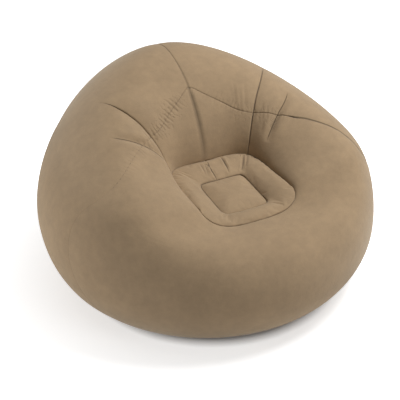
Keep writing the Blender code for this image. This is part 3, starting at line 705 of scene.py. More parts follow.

# %% [markdown]
# ## Folds that don't follow a seam
#
# Where the arms bend into the back, the film has too much length and falls into darts and
# folds. They could be sculpted, but a sculpt can't be read or changed later. Each fold is a short
# drawn line: the skin sinks beside it, and the material paints the shade of the crease at its
# bottom as a dark line. The last line is the weld that runs on from the back over the ridge.

# %% Drawn folds
# Each fold: its depth, the half width of its valley, how dark the painted shade of its crease is,
# and its stops as (angle in degrees, girth)
FOLDS = (
    (0.0090, 0.013, 1.0, (
        (121.1, 0.93), (119.9, 0.80), (118.5, 0.64), (116.6, 0.49), (114.6, 0.37), (112.8, 0.29),
    )),
    (0.0115, 0.014, 1.0, (
        (-118.2, 0.95), (-119.0, 0.79), (-119.6, 0.62), (-120.4, 0.46), (-122.0, 0.34),
        (-125.5, 0.22),
    )),
    (0.0012, 0.006, 0.3, ((-127.5, 0.60), (-125.8, 0.52), (-124.0, 0.42))),
    (0.0009, 0.005, 0.05, ((152.0, 0.58), (151.6, 0.47), (151.8, 0.36))),
    (0.0013, 0.005, 0.12, ((149.0, 0.64), (148.7, 0.50), (149.2, 0.38))),
    (0.0009, 0.005, 0.05, ((145.2, 0.60), (144.6, 0.50), (144.4, 0.40))),
    (0.0014, 0.005, 0.12, ((141.4, 0.68), (140.6, 0.54), (139.6, 0.40))),
    (0.0014, 0.006, 0.15, ((128.4, 0.62), (127.4, 0.50), (126.4, 0.38))),
    (0.0016, 0.007, 0.15, ((123.6, 0.50), (122.0, 0.40), (120.4, 0.30))),
    (0.0014, 0.006, 0.15, ((115.4, 0.72), (114.6, 0.62), (113.4, 0.52))),
    (0.0013, 0.008, 0.1, ((-146.0, 0.90), (-148.5, 0.82), (-151.0, 0.75))),
    (0.0013, 0.007, 0.1, ((-140.6, 0.80), (-144.0, 0.75), (-148.0, 0.70))),
    (0.0020, 0.007, 0.1, ((-157.0, 0.73), (-161.0, 0.68), (-165.0, 0.63))),
    (0.0014, 0.008, 1.0, (
        (114.4, 0.660), (111.5, 0.718), (108.8, 0.790), (105.5, 0.868), (102.3, 0.94),
        (99.4, 0.995), (97.0, 1.03), (94.2, 1.058), (91.6, 1.08), (88.1, 1.107), (84.1, 1.14),
        (79.2, 1.21), (74.5, 1.33), (71.0, 1.5), (67.5, 1.8), (65.0, 2.05), (61.5, 2.45),
    )),
)
CREASE_REACH, CREASE_TAPER = 0.014, 0.030
WELD_WIDTH = 2.0


def drawn_line(stops):
    """A line through places given as (angle in degrees, girth)."""
    angle, girth = np.transpose(stops)
    return Line(np.radians(angle), girth, FOLD_SAMPLES)


FOLD_LINES = [drawn_line(stops) for *_, stops in FOLDS]


def fold_relief(points):
    """Soft valleys along drawn lines, with low banks beside them."""
    sunk = np.zeros(points.shape[:2])
    for line, (depth, half, _, _) in zip(FOLD_LINES, FOLDS):
        away, run, _ = line.measure(points)
        taper = np.sin(math.pi * np.clip(run / line.length, 0, 1)) ** 0.7
        bank = 0.16 * np.exp(-(((away - 2.1 * half) / half) ** 2))
        sunk += depth * (np.exp(-((away / half) ** 2)) - bank) * taper
    return sunk


def crease_values(points, normals):
    """For each point: its distance from the nearest crease, signed by the side, and its painted
    shade.
    """
    nearest_away = np.full(points.shape[:2], CREASE_REACH)
    side, dark = nearest_away.copy(), np.zeros(points.shape[:2])
    for line, (_, _, shade, _) in zip(FOLD_LINES, FOLDS):
        away, run, nearest = line.measure(points)
        if line is FOLD_LINES[-1]:
            away = away / WELD_WIDTH
        across = np.cross(line.tangent[nearest], points - line.points[nearest])
        sign = np.where(np.sum(across * normals, axis=-1) < 0, -1, 1)
        share = np.clip(run / line.length, 0, 1)
        taper = np.clip(line.length * np.minimum(share, 1 - share) / CREASE_TAPER, 0, 1)
        closer = away < nearest_away
        nearest_away[closer] = away[closer]
        side[closer] = (sign * away)[closer]
        dark[closer] = (shade * taper * (1 - away / CREASE_REACH))[closer]
    return {"fold_side": side, "fold_dark": dark}


longest = max(line.length for line in FOLD_LINES)
print("folds:", len(FOLDS), "longest", round(float(longest), 3), "m")

# %% [markdown]
# ## Sheets
#
# A skin is a sheet of film. A box with subdivisions would put points everywhere alike. A grid can
# crowd its lines towards the seams, where the film bends most, and its rows follow the seams
# exactly. A Solidify modifier then gives the film its thickness inwards.

# %% Grids and sheets
FILM = 0.0006
FINEST = 0.0013
SHARP_FOLD = math.radians(55)


def crowded(count, length):
    """Shares from 0 to 1 whose steps start at the finest size and grow towards the middle."""
    even = np.linspace(0, 1, count + 1)
    least = FINEST * count / length
    return even + (least - 1) * np.sin(2 * math.pi * even) / (2 * math.pi)


def store(mesh, key, values, kind="FLOAT"):
    """Keeps a value for each point, for the materials and the geometry trees."""
    data = mesh.attributes.new(key, kind, "POINT").data
    data.foreach_set("value" if kind == "FLOAT" else "vector", np.ravel(values).astype(np.float32))


def sheet_mesh(name, nodes, outward, values=None, gone=None):
    """A quad mesh through nodes[i, j], without the cells marked in gone."""
    columns, rows = nodes.shape[:2]
    index = np.arange(columns * rows).reshape(columns, rows)
    faces = np.stack([index[:-1, :-1], index[1:, :-1], index[1:, 1:], index[:-1, 1:]], axis=-1)
    if gone is not None:
        faces = faces[~gone]
    faces, flat = faces.reshape(-1, 4), nodes.reshape(-1, 3)
    first, second, third = (flat[faces[:, corner]] for corner in range(3))
    wanted = np.broadcast_to(outward, nodes.shape).reshape(-1, 3)[faces[:, 0]]
    if np.sum(np.cross(second - first, third - first) * wanted) < 0:
        faces = faces[:, ::-1]
    mesh = bpy.data.meshes.new(name)
    mesh.from_pydata(flat.tolist(), [], faces.tolist())
    for key, value in (values or {}).items():
        store(mesh, key, value)
    bm = bmesh.new()
    bm.from_mesh(mesh)
    bmesh.ops.remove_doubles(bm, verts=bm.verts, dist=1e-6)
    loose = [vertex for vertex in bm.verts if not vertex.link_faces]
    bmesh.ops.delete(bm, geom=loose, context="VERTS")
    bm.to_mesh(mesh)
    bm.free()
    mesh.shade_smooth()
    mesh.set_sharp_from_angle(angle=SHARP_FOLD)
    return mesh


def add_piece(name, mesh, material):
    piece = add_object(name, mesh)
    if not mesh.materials:
        mesh.materials.append(material)
    return piece


def thicken(piece):
    film = piece.modifiers.new("film", "SOLIDIFY")
    film.thickness, film.offset = FILM, -1
    return piece


print("first of 100 lines on one metre:", crowded(100, 1)[:3].round(4))

# %% [markdown]
# ## Skins
#
# A panel of the bag is a grid of angles and girths, set on the smooth shape and sunk by its seams
# and folds. Two panels meet in a weld: each stops half a gap short of the seam, and a last line
# of points on each side turns in, as the film does inside a real weld. So no skin has an open
# edge that shows, and none cuts through its neighbour.

# %% A flocked skin
TURN_IN = 0.006
SEAM_GAP = 0.00015
TIP_SHARE = 0.04


def drawn_back(points, normals, seams):
    """The grid with half the gap of a weld left at each seam."""
    moved = points.copy()
    for side in seams:
        first, second = (0, 1) if side in ("left", "low") else (-1, -2)
        grid, up, out = points, normals, moved
        if side in ("low", "high"):
            grid, up, out = (array.swapaxes(0, 1) for array in (points, normals, moved))
        across = np.cross(up[first], unit(np.gradient(grid[first], axis=0)))
        facing = np.sign(np.sum(across * (grid[second] - grid[first]), axis=-1, keepdims=True))
        out[first] += facing * across * SEAM_GAP
    return moved


def skin(name, angle, girth, seams, tip=False, hole=None):
    """A flocked skin over a grid of angles and girths, with its edges turned in."""
    smooth, normals = surface_points(angle, girth), surface_normals(angle, girth)
    if hole:
        smooth, cut = hole(smooth)
    sunk, near = seam_relief(smooth, girth)
    sunk = sunk + fold_relief(smooth)
    points = drawn_back(smooth, normals, seams) - normals * sunk[..., None]
    if tip:
        middle = (points[0, 1] + points[-1, 1]) / 2
        points[:, 0] = points[0, 0] + (middle - points[0, 0]) * TIP_SHARE
    border = ((1, 1), (1, 1), (0, 0))
    outward = np.pad(normals, border, mode="edge")
    turn = -outward * TURN_IN
    turn[1:-1, 1:-1] = 0
    if "low" not in seams:
        turn[:, 0] = (0, 0, -TURN_IN)
    nodes = np.pad(points, border, mode="edge") + turn
    values = {"seam_shade_and_press": near, **wrinkle_values(smooth), **crease_values(smooth, normals)}
    values = {key: np.pad(value, 1, mode="edge") for key, value in values.items()}
    gone = np.zeros((nodes.shape[0] - 1, nodes.shape[1] - 1), bool)
    ends, corners = (0, -1), (0, 1, -2, -1)
    gone[np.ix_(ends, corners)] = gone[np.ix_(corners, ends)] = True
    if tip:
        gone[:, 0] = True
    if hole:
        gone[1:-1, 1:-1] |= cut
    return thicken(add_piece(name, sheet_mesh(name, nodes, outward, values, gone), FLOCKED))


print("gap in a weld:", 2 * SEAM_GAP * 1000, "mm")

# %% [markdown]
# ## Front panel with both arms
#
# One smooth piece of film makes the front, the arms and the apron. It starts at the seat, goes
# over the ridge and under the bulge to the floor. Its sides follow the corner seams in the well
# and the ring seam past them, so each row of the grid gets its own width.

# %% Front skin
FRONT_COLUMNS, FRONT_ROWS, WALL_ROWS, FRONT_WIDTH = 210, 180, 33, 2.2


def make_front():
    wall = np.linspace(0, JUNCTION, WALL_ROWS + 1)
    rows = np.concatenate([wall, np.linspace(JUNCTION, FLOOR, FRONT_ROWS - WALL_ROWS)[1:]])
    columns = 2 * crowded(FRONT_COLUMNS, FRONT_WIDTH) - 1
    angle = columns[:, None] * front_turn(rows)
    return skin("front_skin", angle, np.broadcast_to(rows, angle.shape), ("left", "right", "high"))


front_skin = make_front()
print("front skin:", len(front_skin.data.polygons), "faces")

# %% [markdown]
# ## Sides, crown and inner back
#
# Behind the arms the bag has three more panels on each side: the flank, which narrows to a tip
# where its seams meet, the crown over the top of the back, and the backrest below it. A mirror
# modifier can't make the second side, because the folds and welds differ, so each panel is made
# twice from one rule with the sign changed.

# %% Skins on both sides
SIDE_COLUMNS, SIDE_ROWS, SIDE_WIDTH = 84, 160, 0.6
CROWN_COLUMNS, CROWN_ROWS, CROWN_WIDTH, CROWN_HEIGHT = 76, 90, 0.42, 0.6
INNER_COLUMNS, INNER_ROWS, INNER_SIZE = 56, 48, 0.2


def make_side(side, sign):
    rows = np.linspace(JUNCTION, FLOOR, SIDE_ROWS)
    start = front_turn(rows)
    angle = start + (CORNER - start) * crowded(SIDE_COLUMNS, SIDE_WIDTH)[:, None]
    girth = np.broadcast_to(rows, angle.shape)
    return skin(f"side_{side}_skin", sign * angle, girth, ("left", "right", "high"), tip=True)


def back_angles(columns, rows, length):
    angle = CORNER + (math.pi - CORNER) * crowded(columns, length)
    return np.broadcast_to(angle[:, None], (columns + 1, rows + 1))


def make_crown(side, sign):
    angle = back_angles(CROWN_COLUMNS, CROWN_ROWS, CROWN_WIDTH)
    start = ring_seam_girth(angle)
    girth = start + (REAR_SEAM - start) * crowded(CROWN_ROWS, CROWN_HEIGHT)
    return skin(f"crown_{side}_skin", sign * angle, girth, ("left", "right", "low", "high"))


def make_inner_back(side, sign):
    angle = back_angles(INNER_COLUMNS, INNER_ROWS, INNER_SIZE)
    girth = ring_seam_girth(angle) * crowded(INNER_ROWS, INNER_SIZE)
    return skin(f"inner_back_{side}_skin", sign * angle, girth, ("left", "right", "high"))


PAIRED = {
    "side_{}_panel": make_side,
    "crown_{}_panel": make_crown,
    "back_{}_inner_panel": make_inner_back,
}
skins = {}
for side, sign in SIDES:
    for panel, make in PAIRED.items():
        skins[panel.format(side)] = make(side, sign)
print("skins:", {name: len(piece.data.polygons) for name, piece in skins.items()})

# %% [markdown]
# ## Rear with the hole for the valve
#
# The rear panel is one grid with a round hole in it. A Boolean would cut the hole too, but leave
# long thin faces that shade badly. Instead the grid itself is moved until a block of its cells
# has a round edge, and the block is left out. A small polynomial keeps the moved points on the
# curve of the back.

# %% Rear skin
VALVE_BACK, VALVE_HEIGHT = 0.5748, 0.335
REAR_COLUMNS, REAR_ROWS, REAR_WIDTH = 160, 105, 0.9
HOLE_COLUMN, HOLE_ROW, HOLE_CELLS = 80, 30, 2
HOLE_RADIUS, HOLE_BLEND = 0.0190, 5


def back_terms(x, z):
    x, up = np.broadcast_arrays(x, np.asarray(z) - VALVE_HEIGHT)
    return np.stack([np.ones_like(up), x**2, up, up**2, x**2 * up, up**3, x**4], axis=-1)


def fit_back():
    """A polynomial for the depth of the back round the valve, from its width and height."""
    angle, girth = np.meshgrid(np.radians(np.linspace(171, 189, 37)), np.linspace(1.85, 2.15, 31))
    places = surface_points(angle, girth).reshape(-1, 3)
    return np.linalg.lstsq(back_terms(places[:, 0], places[:, 2]), places[:, 1], rcond=None)[0]


BACK_FIT = fit_back()


def back_depth(x, z):
    return back_terms(x, z) @ BACK_FIT


def valve_hole(places):
    """Moves the grid round the valve until a block of its cells is round, and marks the block."""
    column, row = np.indices(places.shape[:2])
    reach = np.maximum(abs(column - HOLE_COLUMN), abs(row - HOLE_ROW)) / HOLE_CELLS
    x, up = places[..., 0], places[..., 2] - VALVE_HEIGHT
    radius = np.maximum(np.hypot(x, up), TINY)
    blend = np.clip((HOLE_BLEND - reach) / (HOLE_BLEND - 1), 0, 1) ** 1.5
    blend[reach < 1] = 0
    moved = radius + (HOLE_RADIUS - radius / np.maximum(reach, TINY)) * blend
    x, z = x / radius * moved, VALVE_HEIGHT + up / radius * moved
    shifted = np.stack([x, back_depth(x, z), z], axis=-1)
    inside = reach <= 1
    cut = inside[:-1, :-1] & inside[1:, 1:] & inside[1:, :-1] & inside[:-1, 1:]
    return np.where(blend[..., None] > 0, shifted, places), cut


def make_rear():
    angle = CORNER + 2 * (math.pi - CORNER) * crowded(REAR_COLUMNS, REAR_WIDTH)
    girth = np.linspace(REAR_SEAM, FLOOR, REAR_ROWS + 1)
    angle, girth = np.meshgrid(angle, girth, indexing="ij")
    return skin("rear_skin", angle, girth, ("left", "right", "low", "high"), hole=valve_hole)


rear_skin = make_rear()
print("rear skin:", len(rear_skin.data.polygons), "faces")

# %% [markdown]
# ## Air in the seat
#
# The seat is a puffed ring round a sunken square. A drum and four strips of film inside hold it
# down at its edges, and the air lifts it between them. These two sheets are small and held all
# round, so a cloth simulation with pressure inside can blow them up in seconds: it starts from a
# flatter shape and lets the film find its own fullness. The big bag is left to its rule, because
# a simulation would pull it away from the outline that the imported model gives.

# %% Cloth under pressure
CLOTH_FRAMES, CLOTH_QUALITY = 20, 6
CLOTH_MASS, STRETCH_STIFFNESS, SHEAR_STIFFNESS, BEND_STIFFNESS = 0.15, 25, 12, 2
HELD_FROM = 0.99


def blow_up(piece, held, pressure, growth, most):
    """Inflates a sheet that is held where held says so, as cloth under air pressure."""
    pins = piece.vertex_groups.new(name="held")
    pins.add([int(index) for index in np.flatnonzero(held)], 1, "REPLACE")
    cloth = piece.modifiers.new("air", "CLOTH")
    settings = cloth.settings
    settings.quality, settings.mass = CLOTH_QUALITY, CLOTH_MASS
    settings.tension_stiffness = settings.compression_stiffness = STRETCH_STIFFNESS
    settings.shear_stiffness, settings.bending_stiffness = SHEAR_STIFFNESS, BEND_STIFFNESS
    settings.use_pressure = True
    settings.uniform_pressure_force = pressure
    settings.shrink_min = settings.shrink_max = -growth
    settings.vertex_group_mass = pins.name
    settings.effector_weights.gravity = 0
    cloth.collision_settings.use_collision = False
    for number in range(1, CLOTH_FRAMES + 1):
        bpy.context.scene.frame_set(number)
    shaped = piece.evaluated_get(bpy.context.evaluated_depsgraph_get())
    before, after = (
        np.array([vertex.co for vertex in mesh.vertices]) for mesh in (piece.data, shaped.data)
    )
    move = after - before
    length = np.linalg.norm(move, axis=-1, keepdims=True)
    after = before + move * np.minimum(1, most / np.maximum(length, TINY))
    piece.modifiers.remove(cloth)
    piece.vertex_groups.remove(pins)
    bpy.context.scene.frame_set(1)
    piece.data.vertices.foreach_set("co", after.ravel())
    piece.data.update()
    print(piece.name, "rose by", round(float(move[:, 2].max()) * 1000, 1), "mm")


def seat_skin(name, nodes, near, air, gone=None):
    """A sheet of the seat, blown up by this air and smoothed by one subdivision."""
    up = np.broadcast_to((0, 0, 1), nodes.shape)
    mesh = sheet_mesh(name, nodes, up, {"seam_shade_and_press": near}, gone)
    piece = add_piece(name, mesh, FLOCKED)
    held = np.zeros(len(mesh.vertices), np.float32)
    mesh.attributes["seam_shade_and_press"].data.foreach_get("value", held)
    blow_up(piece, held > HELD_FROM, *air)
    smooth = piece.modifiers.new("smooth", "SUBSURF")
    smooth.levels = smooth.render_levels = 1
    shaped = piece.evaluated_get(bpy.context.evaluated_depsgraph_get())
    fine = bpy.data.meshes.new_from_object(shaped)
    piece.modifiers.remove(smooth)
    piece.data = fine
    return piece


# %% [markdown]
# ## Edges of the seat
#
# Both sheets of the seat hang between two closed lines: the seam round the seat, which the bag
# shares, and the edge of the sunken square. The square's sides are slightly bowed and its corners
# round, which a superellipse gives with one number for the squareness.

# %% Seat seam and recess edge
SEAT_FRONT, SEAT_DEPTH, SEAT_RISE = -0.353, 0.368, 0.040
SEAT_FRONT_HEIGHT = 0.346
SEAT_AROUND = 340
SEAT_CLEARANCE = 0.0003
RECESS_SIZE = np.array([0.168, 0.185])
RECESS_MIDDLE, RECESS_DROP, RECESS_SQUARENESS = -0.1925, 0.0045, 9


def seat_level(y):
    return SEAT_FRONT_HEIGHT + SEAT_RISE * ((y - SEAT_FRONT) / SEAT_DEPTH)


def seat_edge(clearance):
    angle = np.linspace(-math.pi, math.pi, SEAT_AROUND + 1)
    girth = np.zeros_like(angle)
    return surface_points(angle, girth) + surface_normals(angle, girth) * clearance


def recess_edge(clearance):
    ray = unit(seat_edge(0)[:, :2] - (0, RECESS_MIDDLE))
    corner = np.sum(np.abs(ray / (RECESS_SIZE / 2)) ** RECESS_SQUARENESS, axis=-1)
    reach = corner ** (-1 / RECESS_SQUARENESS)
    flat = ray * (reach[:, None] + clearance) + (0, RECESS_MIDDLE)
    return np.column_stack([flat, seat_level(flat[:, 1]) - RECESS_DROP])


print("seat seam:", len(seat_edge(0)), "points; recess:", RECESS_SIZE, "m")

# %% [markdown]
# ## Creases in the seat ring
#
# The drum holds the ring tighter at the back, so a few narrow creases cross it there. They are
# made as the folds of the bag are, but on the finished mesh and seen from above, because the
# simulation has moved its points.

# %% Press the creases in
# Each crease: its depth, how dark its painted shade is and its stops seen from above
SEAT_CREASES = (
    (0.0046, 1.0, ((-0.003, -0.006), (-0.010, -0.036), (-0.015, -0.066), (-0.013, -0.096))),
    (0.0036, 0.8, ((0.055, -0.002), (0.051, -0.026), (0.047, -0.049), (0.041, -0.084))),
    (0.0022, 0.4, ((0.132, -0.030), (0.116, -0.055), (0.097, -0.082), (0.088, -0.092))),
    (0.0022, 0.3, ((0.148, -0.024), (0.134, -0.050), (0.119, -0.073), (0.106, -0.090))),
    (0.0020, 0.3, ((-0.016, -0.006), (-0.025, -0.040), (-0.037, -0.083))),
    (0.0018, 0.25, ((-0.034, -0.014), (-0.038, -0.044), (-0.044, -0.078))),
    (0.0015, 0.1, ((-0.136, -0.026), (-0.124, -0.042), (-0.116, -0.060))),
    (0.0014, 0.1, ((-0.144, -0.044), (-0.132, -0.056), (-0.122, -0.072))),
)
SEAT_CREASE_HALF = 0.0036


def crease_seat(piece):
    """Presses narrow creases into the ring, and gives it the values that paint their shade as dark
    lines.
    """
    places = np.array([vertex.co for vertex in piece.data.vertices])
    sunk, dark = np.zeros(len(places)), np.zeros(len(places))
    side = np.full(len(places), CREASE_REACH)
    share = np.linspace(0, 1, 60)
    for depth, shade, stops in SEAT_CREASES:
        grid = np.linspace(0, 1, len(stops))
        line = np.stack([np.interp(share, grid, column) for column in np.transpose(stops)], axis=-1)
        offset = places[:, None, :2] - line
        nearest = np.linalg.norm(offset, axis=-1).argmin(axis=1)
        offset = offset[np.arange(len(places)), nearest]
        along = unit(np.gradient(line, axis=0))[nearest]
        away = np.linalg.norm(offset, axis=-1)
        sign = np.where(along[:, 0] * offset[:, 1] < along[:, 1] * offset[:, 0], -1, 1)
        taper = np.sin(math.pi * (0.06 + 0.88 * share[nearest])) ** 0.6
        bank = np.exp(-(((away / SEAT_CREASE_HALF) - 2.4) ** 2))
        sunk += depth * (np.exp(-((away / SEAT_CREASE_HALF) ** 2)) - 0.35 * bank) * taper
        closer = away < np.abs(side)
        side[closer] = (sign * away)[closer]
        dark[closer] = (shade * taper * (1 - away / CREASE_REACH))[closer]
    places[:, 2] -= sunk
    piece.data.vertices.foreach_set("co", places.ravel())
    store(piece.data, "fold_side", side)
    store(piece.data, "fold_dark", dark)
    piece.data.update()


print("creases in the seat:", len(SEAT_CREASES))

# %% [markdown]
# ## Seat ring and sunken square
#
# The ring is a row of loops from the outer seam to the inner edge, so its lines run round as the
# film does. The square could be loops too, but they would end in a pole that shows as a star.
# So it is a grid whose corners are pulled in to the rounded edge.

# %% The two skins of the seat
RING_PUFF, RING_FULLNESS, RING_LOOPS = 0.016, 2.6, 31
RECESS_CROWN, RECESS_FULLNESS, CENTRE_CELLS = 0.0145, 4, 56
START = 0.78
# Painted shade along the seat skins' outer seam and recess edge, where the ring meets the wall and
# the square sinks
EDGE_SHADE = 0.4
# Pressure, growth of the film and the most that a point may move
RING_AIR, CENTRE_AIR = (5, 0.006, 0.005), (4, 0.004, 0.004)


def make_seat_ring():
    outer, inner = seat_edge(SEAT_CLEARANCE), recess_edge(SEAT_CLEARANCE)
    loops, near = [outer - (0, 0, TURN_IN)], [1]
    for turn in np.linspace(0, math.pi, RING_LOOPS):
        across = (1 - math.cos(turn)) / 2
        full = (1 - abs(math.cos(turn)) ** RING_FULLNESS) ** (1 / RING_FULLNESS)
        loops.append(outer + (inner - outer) * across + (0, 0, RING_PUFF * START * full))
        near.append(EDGE_SHADE * max(0, 1 - 40 * min(across, 1 - across)))
    loops.append(inner - (0, 0, TURN_IN))
    near.append(1)
    near[1] = near[-2] = 1
    nodes = np.stack(loops, axis=1)
    near = np.broadcast_to(near, nodes.shape[:2])
    ring = seat_skin("seat_ring_skin", nodes, near, RING_AIR)
    crease_seat(ring)
    return thicken(ring)


def make_seat_centre():
    """The sunken square is a grid whose corners are rounded, so it has no pole."""
    line = np.linspace(-1, 1, CENTRE_CELLS + 1)
    u, v = np.meshgrid(line, line, indexing="ij")
    out = np.maximum(np.abs(u), np.abs(v))
    safe = np.maximum(out, TINY)
    corner = np.abs(u / safe) ** RECESS_SQUARENESS + np.abs(v / safe) ** RECESS_SQUARENESS
    scale = 1 + (np.maximum(corner, 1) ** (-1 / RECESS_SQUARENESS) - 1) * out**3
    x = u * scale * RECESS_SIZE[0] / 2
    y = v * scale * RECESS_SIZE[1] / 2 + RECESS_MIDDLE
    full = 1 - np.clip(out, 0, 1) ** RECESS_FULLNESS
    z = seat_level(y) - RECESS_DROP + RECESS_CROWN * START * full
    nodes = np.pad(np.stack([x, y, z], axis=-1), ((1, 1), (1, 1), (0, 0)), mode="edge")
    edge = np.ones(nodes.shape[:2], bool)
    edge[1:-1, 1:-1] = False
    nodes[edge] -= (0, 0, TURN_IN)
    near = np.where(out > 1 - 1e-6, 1, EDGE_SHADE * np.clip(1 - 30 * (1 - out), 0, 1))
    near = np.pad(near, 1, constant_values=1)
    gone = np.zeros((nodes.shape[0] - 1, nodes.shape[1] - 1), bool)
    gone[np.ix_((0, -1), (0, -1))] = True
    return thicken(seat_skin("seat_centre_skin", nodes, near, CENTRE_AIR, gone))


seat_ring, seat_centre = make_seat_ring(), make_seat_centre()
print("seat ring:", len(seat_ring.data.polygons), "faces")

# %% [markdown]
# ## Base
#
# The underside isn't flocked. It is plain vinyl with a fine pressed grain, so it slides less and
# wipes clean, and it is welded to the walls all round its edge. A flat disc would do, but its
# rings let it meet the bag's own edge point by point. The webs inside are plain film too: their
# shapes stay as packed, and only their material is new.

# %% Plain vinyl and the base
BASE_LOOPS, BASE_AROUND = 31, 361
INNER_WEBS = ("seat_drum_web", "seat_web_front", "seat_web_back", "seat_web_left", "seat_web_right")


def plain_vinyl(name, colour, roughness, grain_tall):
    def patterns(tree):
        shade = spread(tree, noise(tree, 14, 3), 0.92, 1.06)
        worn = spread(tree, noise(tree, 33, 3, 0.6), roughness - 0.07, roughness + 0.08)
        return shade, worn, [(noise(tree, 22), 0.0009), (noise(tree, 700, 1), grain_tall)]

    return make_material(name, colour, roughness, patterns, Specular_IOR_Level=0.45)


BASE_VINYL = plain_vinyl("base_vinyl", (0.26, 0.20, 0.14), 0.52, 0.0002)
WEB_VINYL = plain_vinyl("web_vinyl", (0.32, 0.30, 0.27), 0.44, 0.0001)
for name in INNER_WEBS:
    bpy.data.objects[name].material_slots[0].material = WEB_VINYL


def make_base():
    angle = np.linspace(-math.pi, math.pi, BASE_AROUND)
    edge = surface_points(angle, np.full_like(angle, float(FLOOR)))
    along = np.roll(edge[:-1], -1, axis=0) - np.roll(edge[:-1], 1, axis=0)
    inwards = unit(np.cross((0, 0, 1), along))
    edge = edge + np.vstack([inwards, inwards[:1]]) * SEAM_GAP
    middle = np.array([0, RECESS_MIDDLE, 0])
    shares = 1 - np.linspace(0, 1, BASE_LOOPS) ** 1.2
    loops = [edge + (0, 0, TURN_IN)] + [middle + (edge - middle) * share for share in shares]
    nodes = np.stack(loops, axis=1)
    mesh = sheet_mesh("base_skin", nodes, np.broadcast_to((0, 0, -1), nodes.shape))
    return thicken(add_piece("base_skin", mesh, BASE_VINYL))


base_skin = make_base()
print("base:", len(base_skin.data.polygons), "faces")

# %% [markdown]
# ## Geometry trees
#
# A weld squeezes out a little vinyl, which sets as a thin bead and closes the seam; the bead
# carries the painted shade of its groove. On one side a row of short dark marks is painted shade,
# standing for the shadows that the puckers cast. Both follow a path, which is what geometry nodes
# do best: one tree sweeps a small circle along a line, and another sets small lenses at even
# steps. Their sizes are named inputs, so that the same trees serve other lines too. What they
# make is kept as a plain mesh.

# %% Trees for a bead and for a row
def node_group(name, inputs):
    """A geometry tree with named inputs, each given as name, kind and first value."""
    tree = bpy.data.node_groups.new(name, "GeometryNodeTree")
    for way in ("INPUT", "OUTPUT"):
        tree.interface.new_socket("Geometry", in_out=way, socket_type="NodeSocketGeometry")
    for label, kind, value in inputs:
        socket = tree.interface.new_socket(label, in_out="INPUT", socket_type=f"NodeSocket{kind}")
        if value is not None:
            socket.default_value = value
    given = step(tree, "NodeGroupInput")
    path = step(tree, "GeometryNodeMeshToCurve", {"Mesh": given["Geometry"]})["Curve"]
    return tree, given, path


def last_steps(tree, geometry, material):
    smooth = step(tree, "GeometryNodeSetShadeSmooth", {"Geometry": geometry})["Geometry"]
    whole = step(tree, "GeometryNodeRealizeInstances", {"Geometry": smooth})["Geometry"]
    made = step(tree, "GeometryNodeSetMaterial", {"Geometry": whole, "Material": material})
    step(tree, "NodeGroupOutput", {"Geometry": made["Geometry"]})
    return tree


def bead_tree():
    inputs = (("Radius", "Float", 0.0006), ("Sides", "Int", 8), ("Material", "Material", None))
    tree, given, path = node_group("weld_bead", inputs)
    size = {"Resolution": given["Sides"], "Radius": given["Radius"]}
    circle = step(tree, "GeometryNodeCurvePrimitiveCircle", size)["Curve"]
    swept = {"Curve": path, "Profile Curve": circle, "Fill Caps": True}
    tube = step(tree, "GeometryNodeCurveToMesh", swept)["Mesh"]
    return last_steps(tree, tube, given["Material"])


def row_tree():
    """Small lenses at even steps along a line, each a little longer or shorter by chance."""
    inputs = (
        ("Spacing", "Float", 0.02), ("Size", "Vector", (0.004, 0.0008, 0.0005)),
        ("Variation", "Float", 0.25), ("Seed", "Int", 4), ("Material", "Material", None),
    )
    tree, given, path = node_group("row_of_marks", inputs)
    stops = {"Curve": path, "Length": given["Spacing"]}
    stops = step(tree, "GeometryNodeResampleCurve", stops, mode="LENGTH")["Curve"]
    named = {"Name": "outward"}
    outward = step(tree, "GeometryNodeInputNamedAttribute", named, data_type="FLOAT_VECTOR")
    along = step(tree, "GeometryNodeInputTangent")["Tangent"]
    axes = {"Primary Axis": outward["Attribute"], "Secondary Axis": along}
    kinds = {"primary_axis": "Z", "secondary_axis": "X"}
    turn = step(tree, "FunctionNodeAxesToRotation", axes, **kinds)["Rotation"]
    ball = step(tree, "GeometryNodeMeshIcoSphere", {"Radius": 1.0, "Subdivisions": 2})["Mesh"]
    lens = step(tree, "GeometryNodeTransform", {"Geometry": ball, "Scale": given["Size"]})
    low, high = (maths(tree, way, 1.0, given["Variation"]) for way in ("SUBTRACT", "ADD"))
    limits = {2: low, 3: high, "Seed": given["Seed"]}
    chance = step(tree, "FunctionNodeRandomValue", limits, data_type="FLOAT")[1]
    made = {"Points": stops, "Instance": lens["Geometry"], "Rotation": turn, "Scale": chance}
    placed = step(tree, "GeometryNodeInstanceOnPoints", made)["Instances"]
    return last_steps(tree, placed, given["Material"])


BEAD_TREE, ROW_TREE = bead_tree(), row_tree()


def line_mesh(name, paths):
    """A mesh of plain lines. Each path: its points, outward directions and seam darkness."""
    points, edges, outward, near = [], [], [], []
    for line, directions, dark in paths:
        closed = np.linalg.norm(line[0] - line[-1]) < 1e-6
        count = len(line) - closed
        first = len(points)
        points.extend(line[:count])
        outward.extend(directions[:count])
        near.extend(np.broadcast_to(dark, len(line))[:count])
        edges.extend((first + index, first + index + 1) for index in range(count - 1))
        if closed:
            edges.append((first + count - 1, first))
    mesh = bpy.data.meshes.new(name)
    mesh.from_pydata(np.array(points).tolist(), edges, [])
    store(mesh, "outward", outward, "FLOAT_VECTOR")
    store(mesh, "seam_shade_and_press", near)
    return mesh


def grown(name, carrier, tree, **values):
    """Runs a geometry tree on a carrier and keeps what it makes as a plain mesh."""
    thing = add_object(name, carrier)
    modifier = thing.modifiers.new("grow", "NODES")
    modifier.node_group = tree
    for item in tree.interface.items_tree:
        if item.item_type == "SOCKET" and item.in_out == "INPUT" and item.name in values:
            modifier[item.identifier] = values[item.name]
    shaped = thing.evaluated_get(bpy.context.evaluated_depsgraph_get())
    mesh = bpy.data.meshes.new_from_object(shaped)
    thing.modifiers.remove(modifier)
    thing.data = mesh
    mesh.name = name
    return thing


print("trees:", BEAD_TREE.name, ROW_TREE.name)
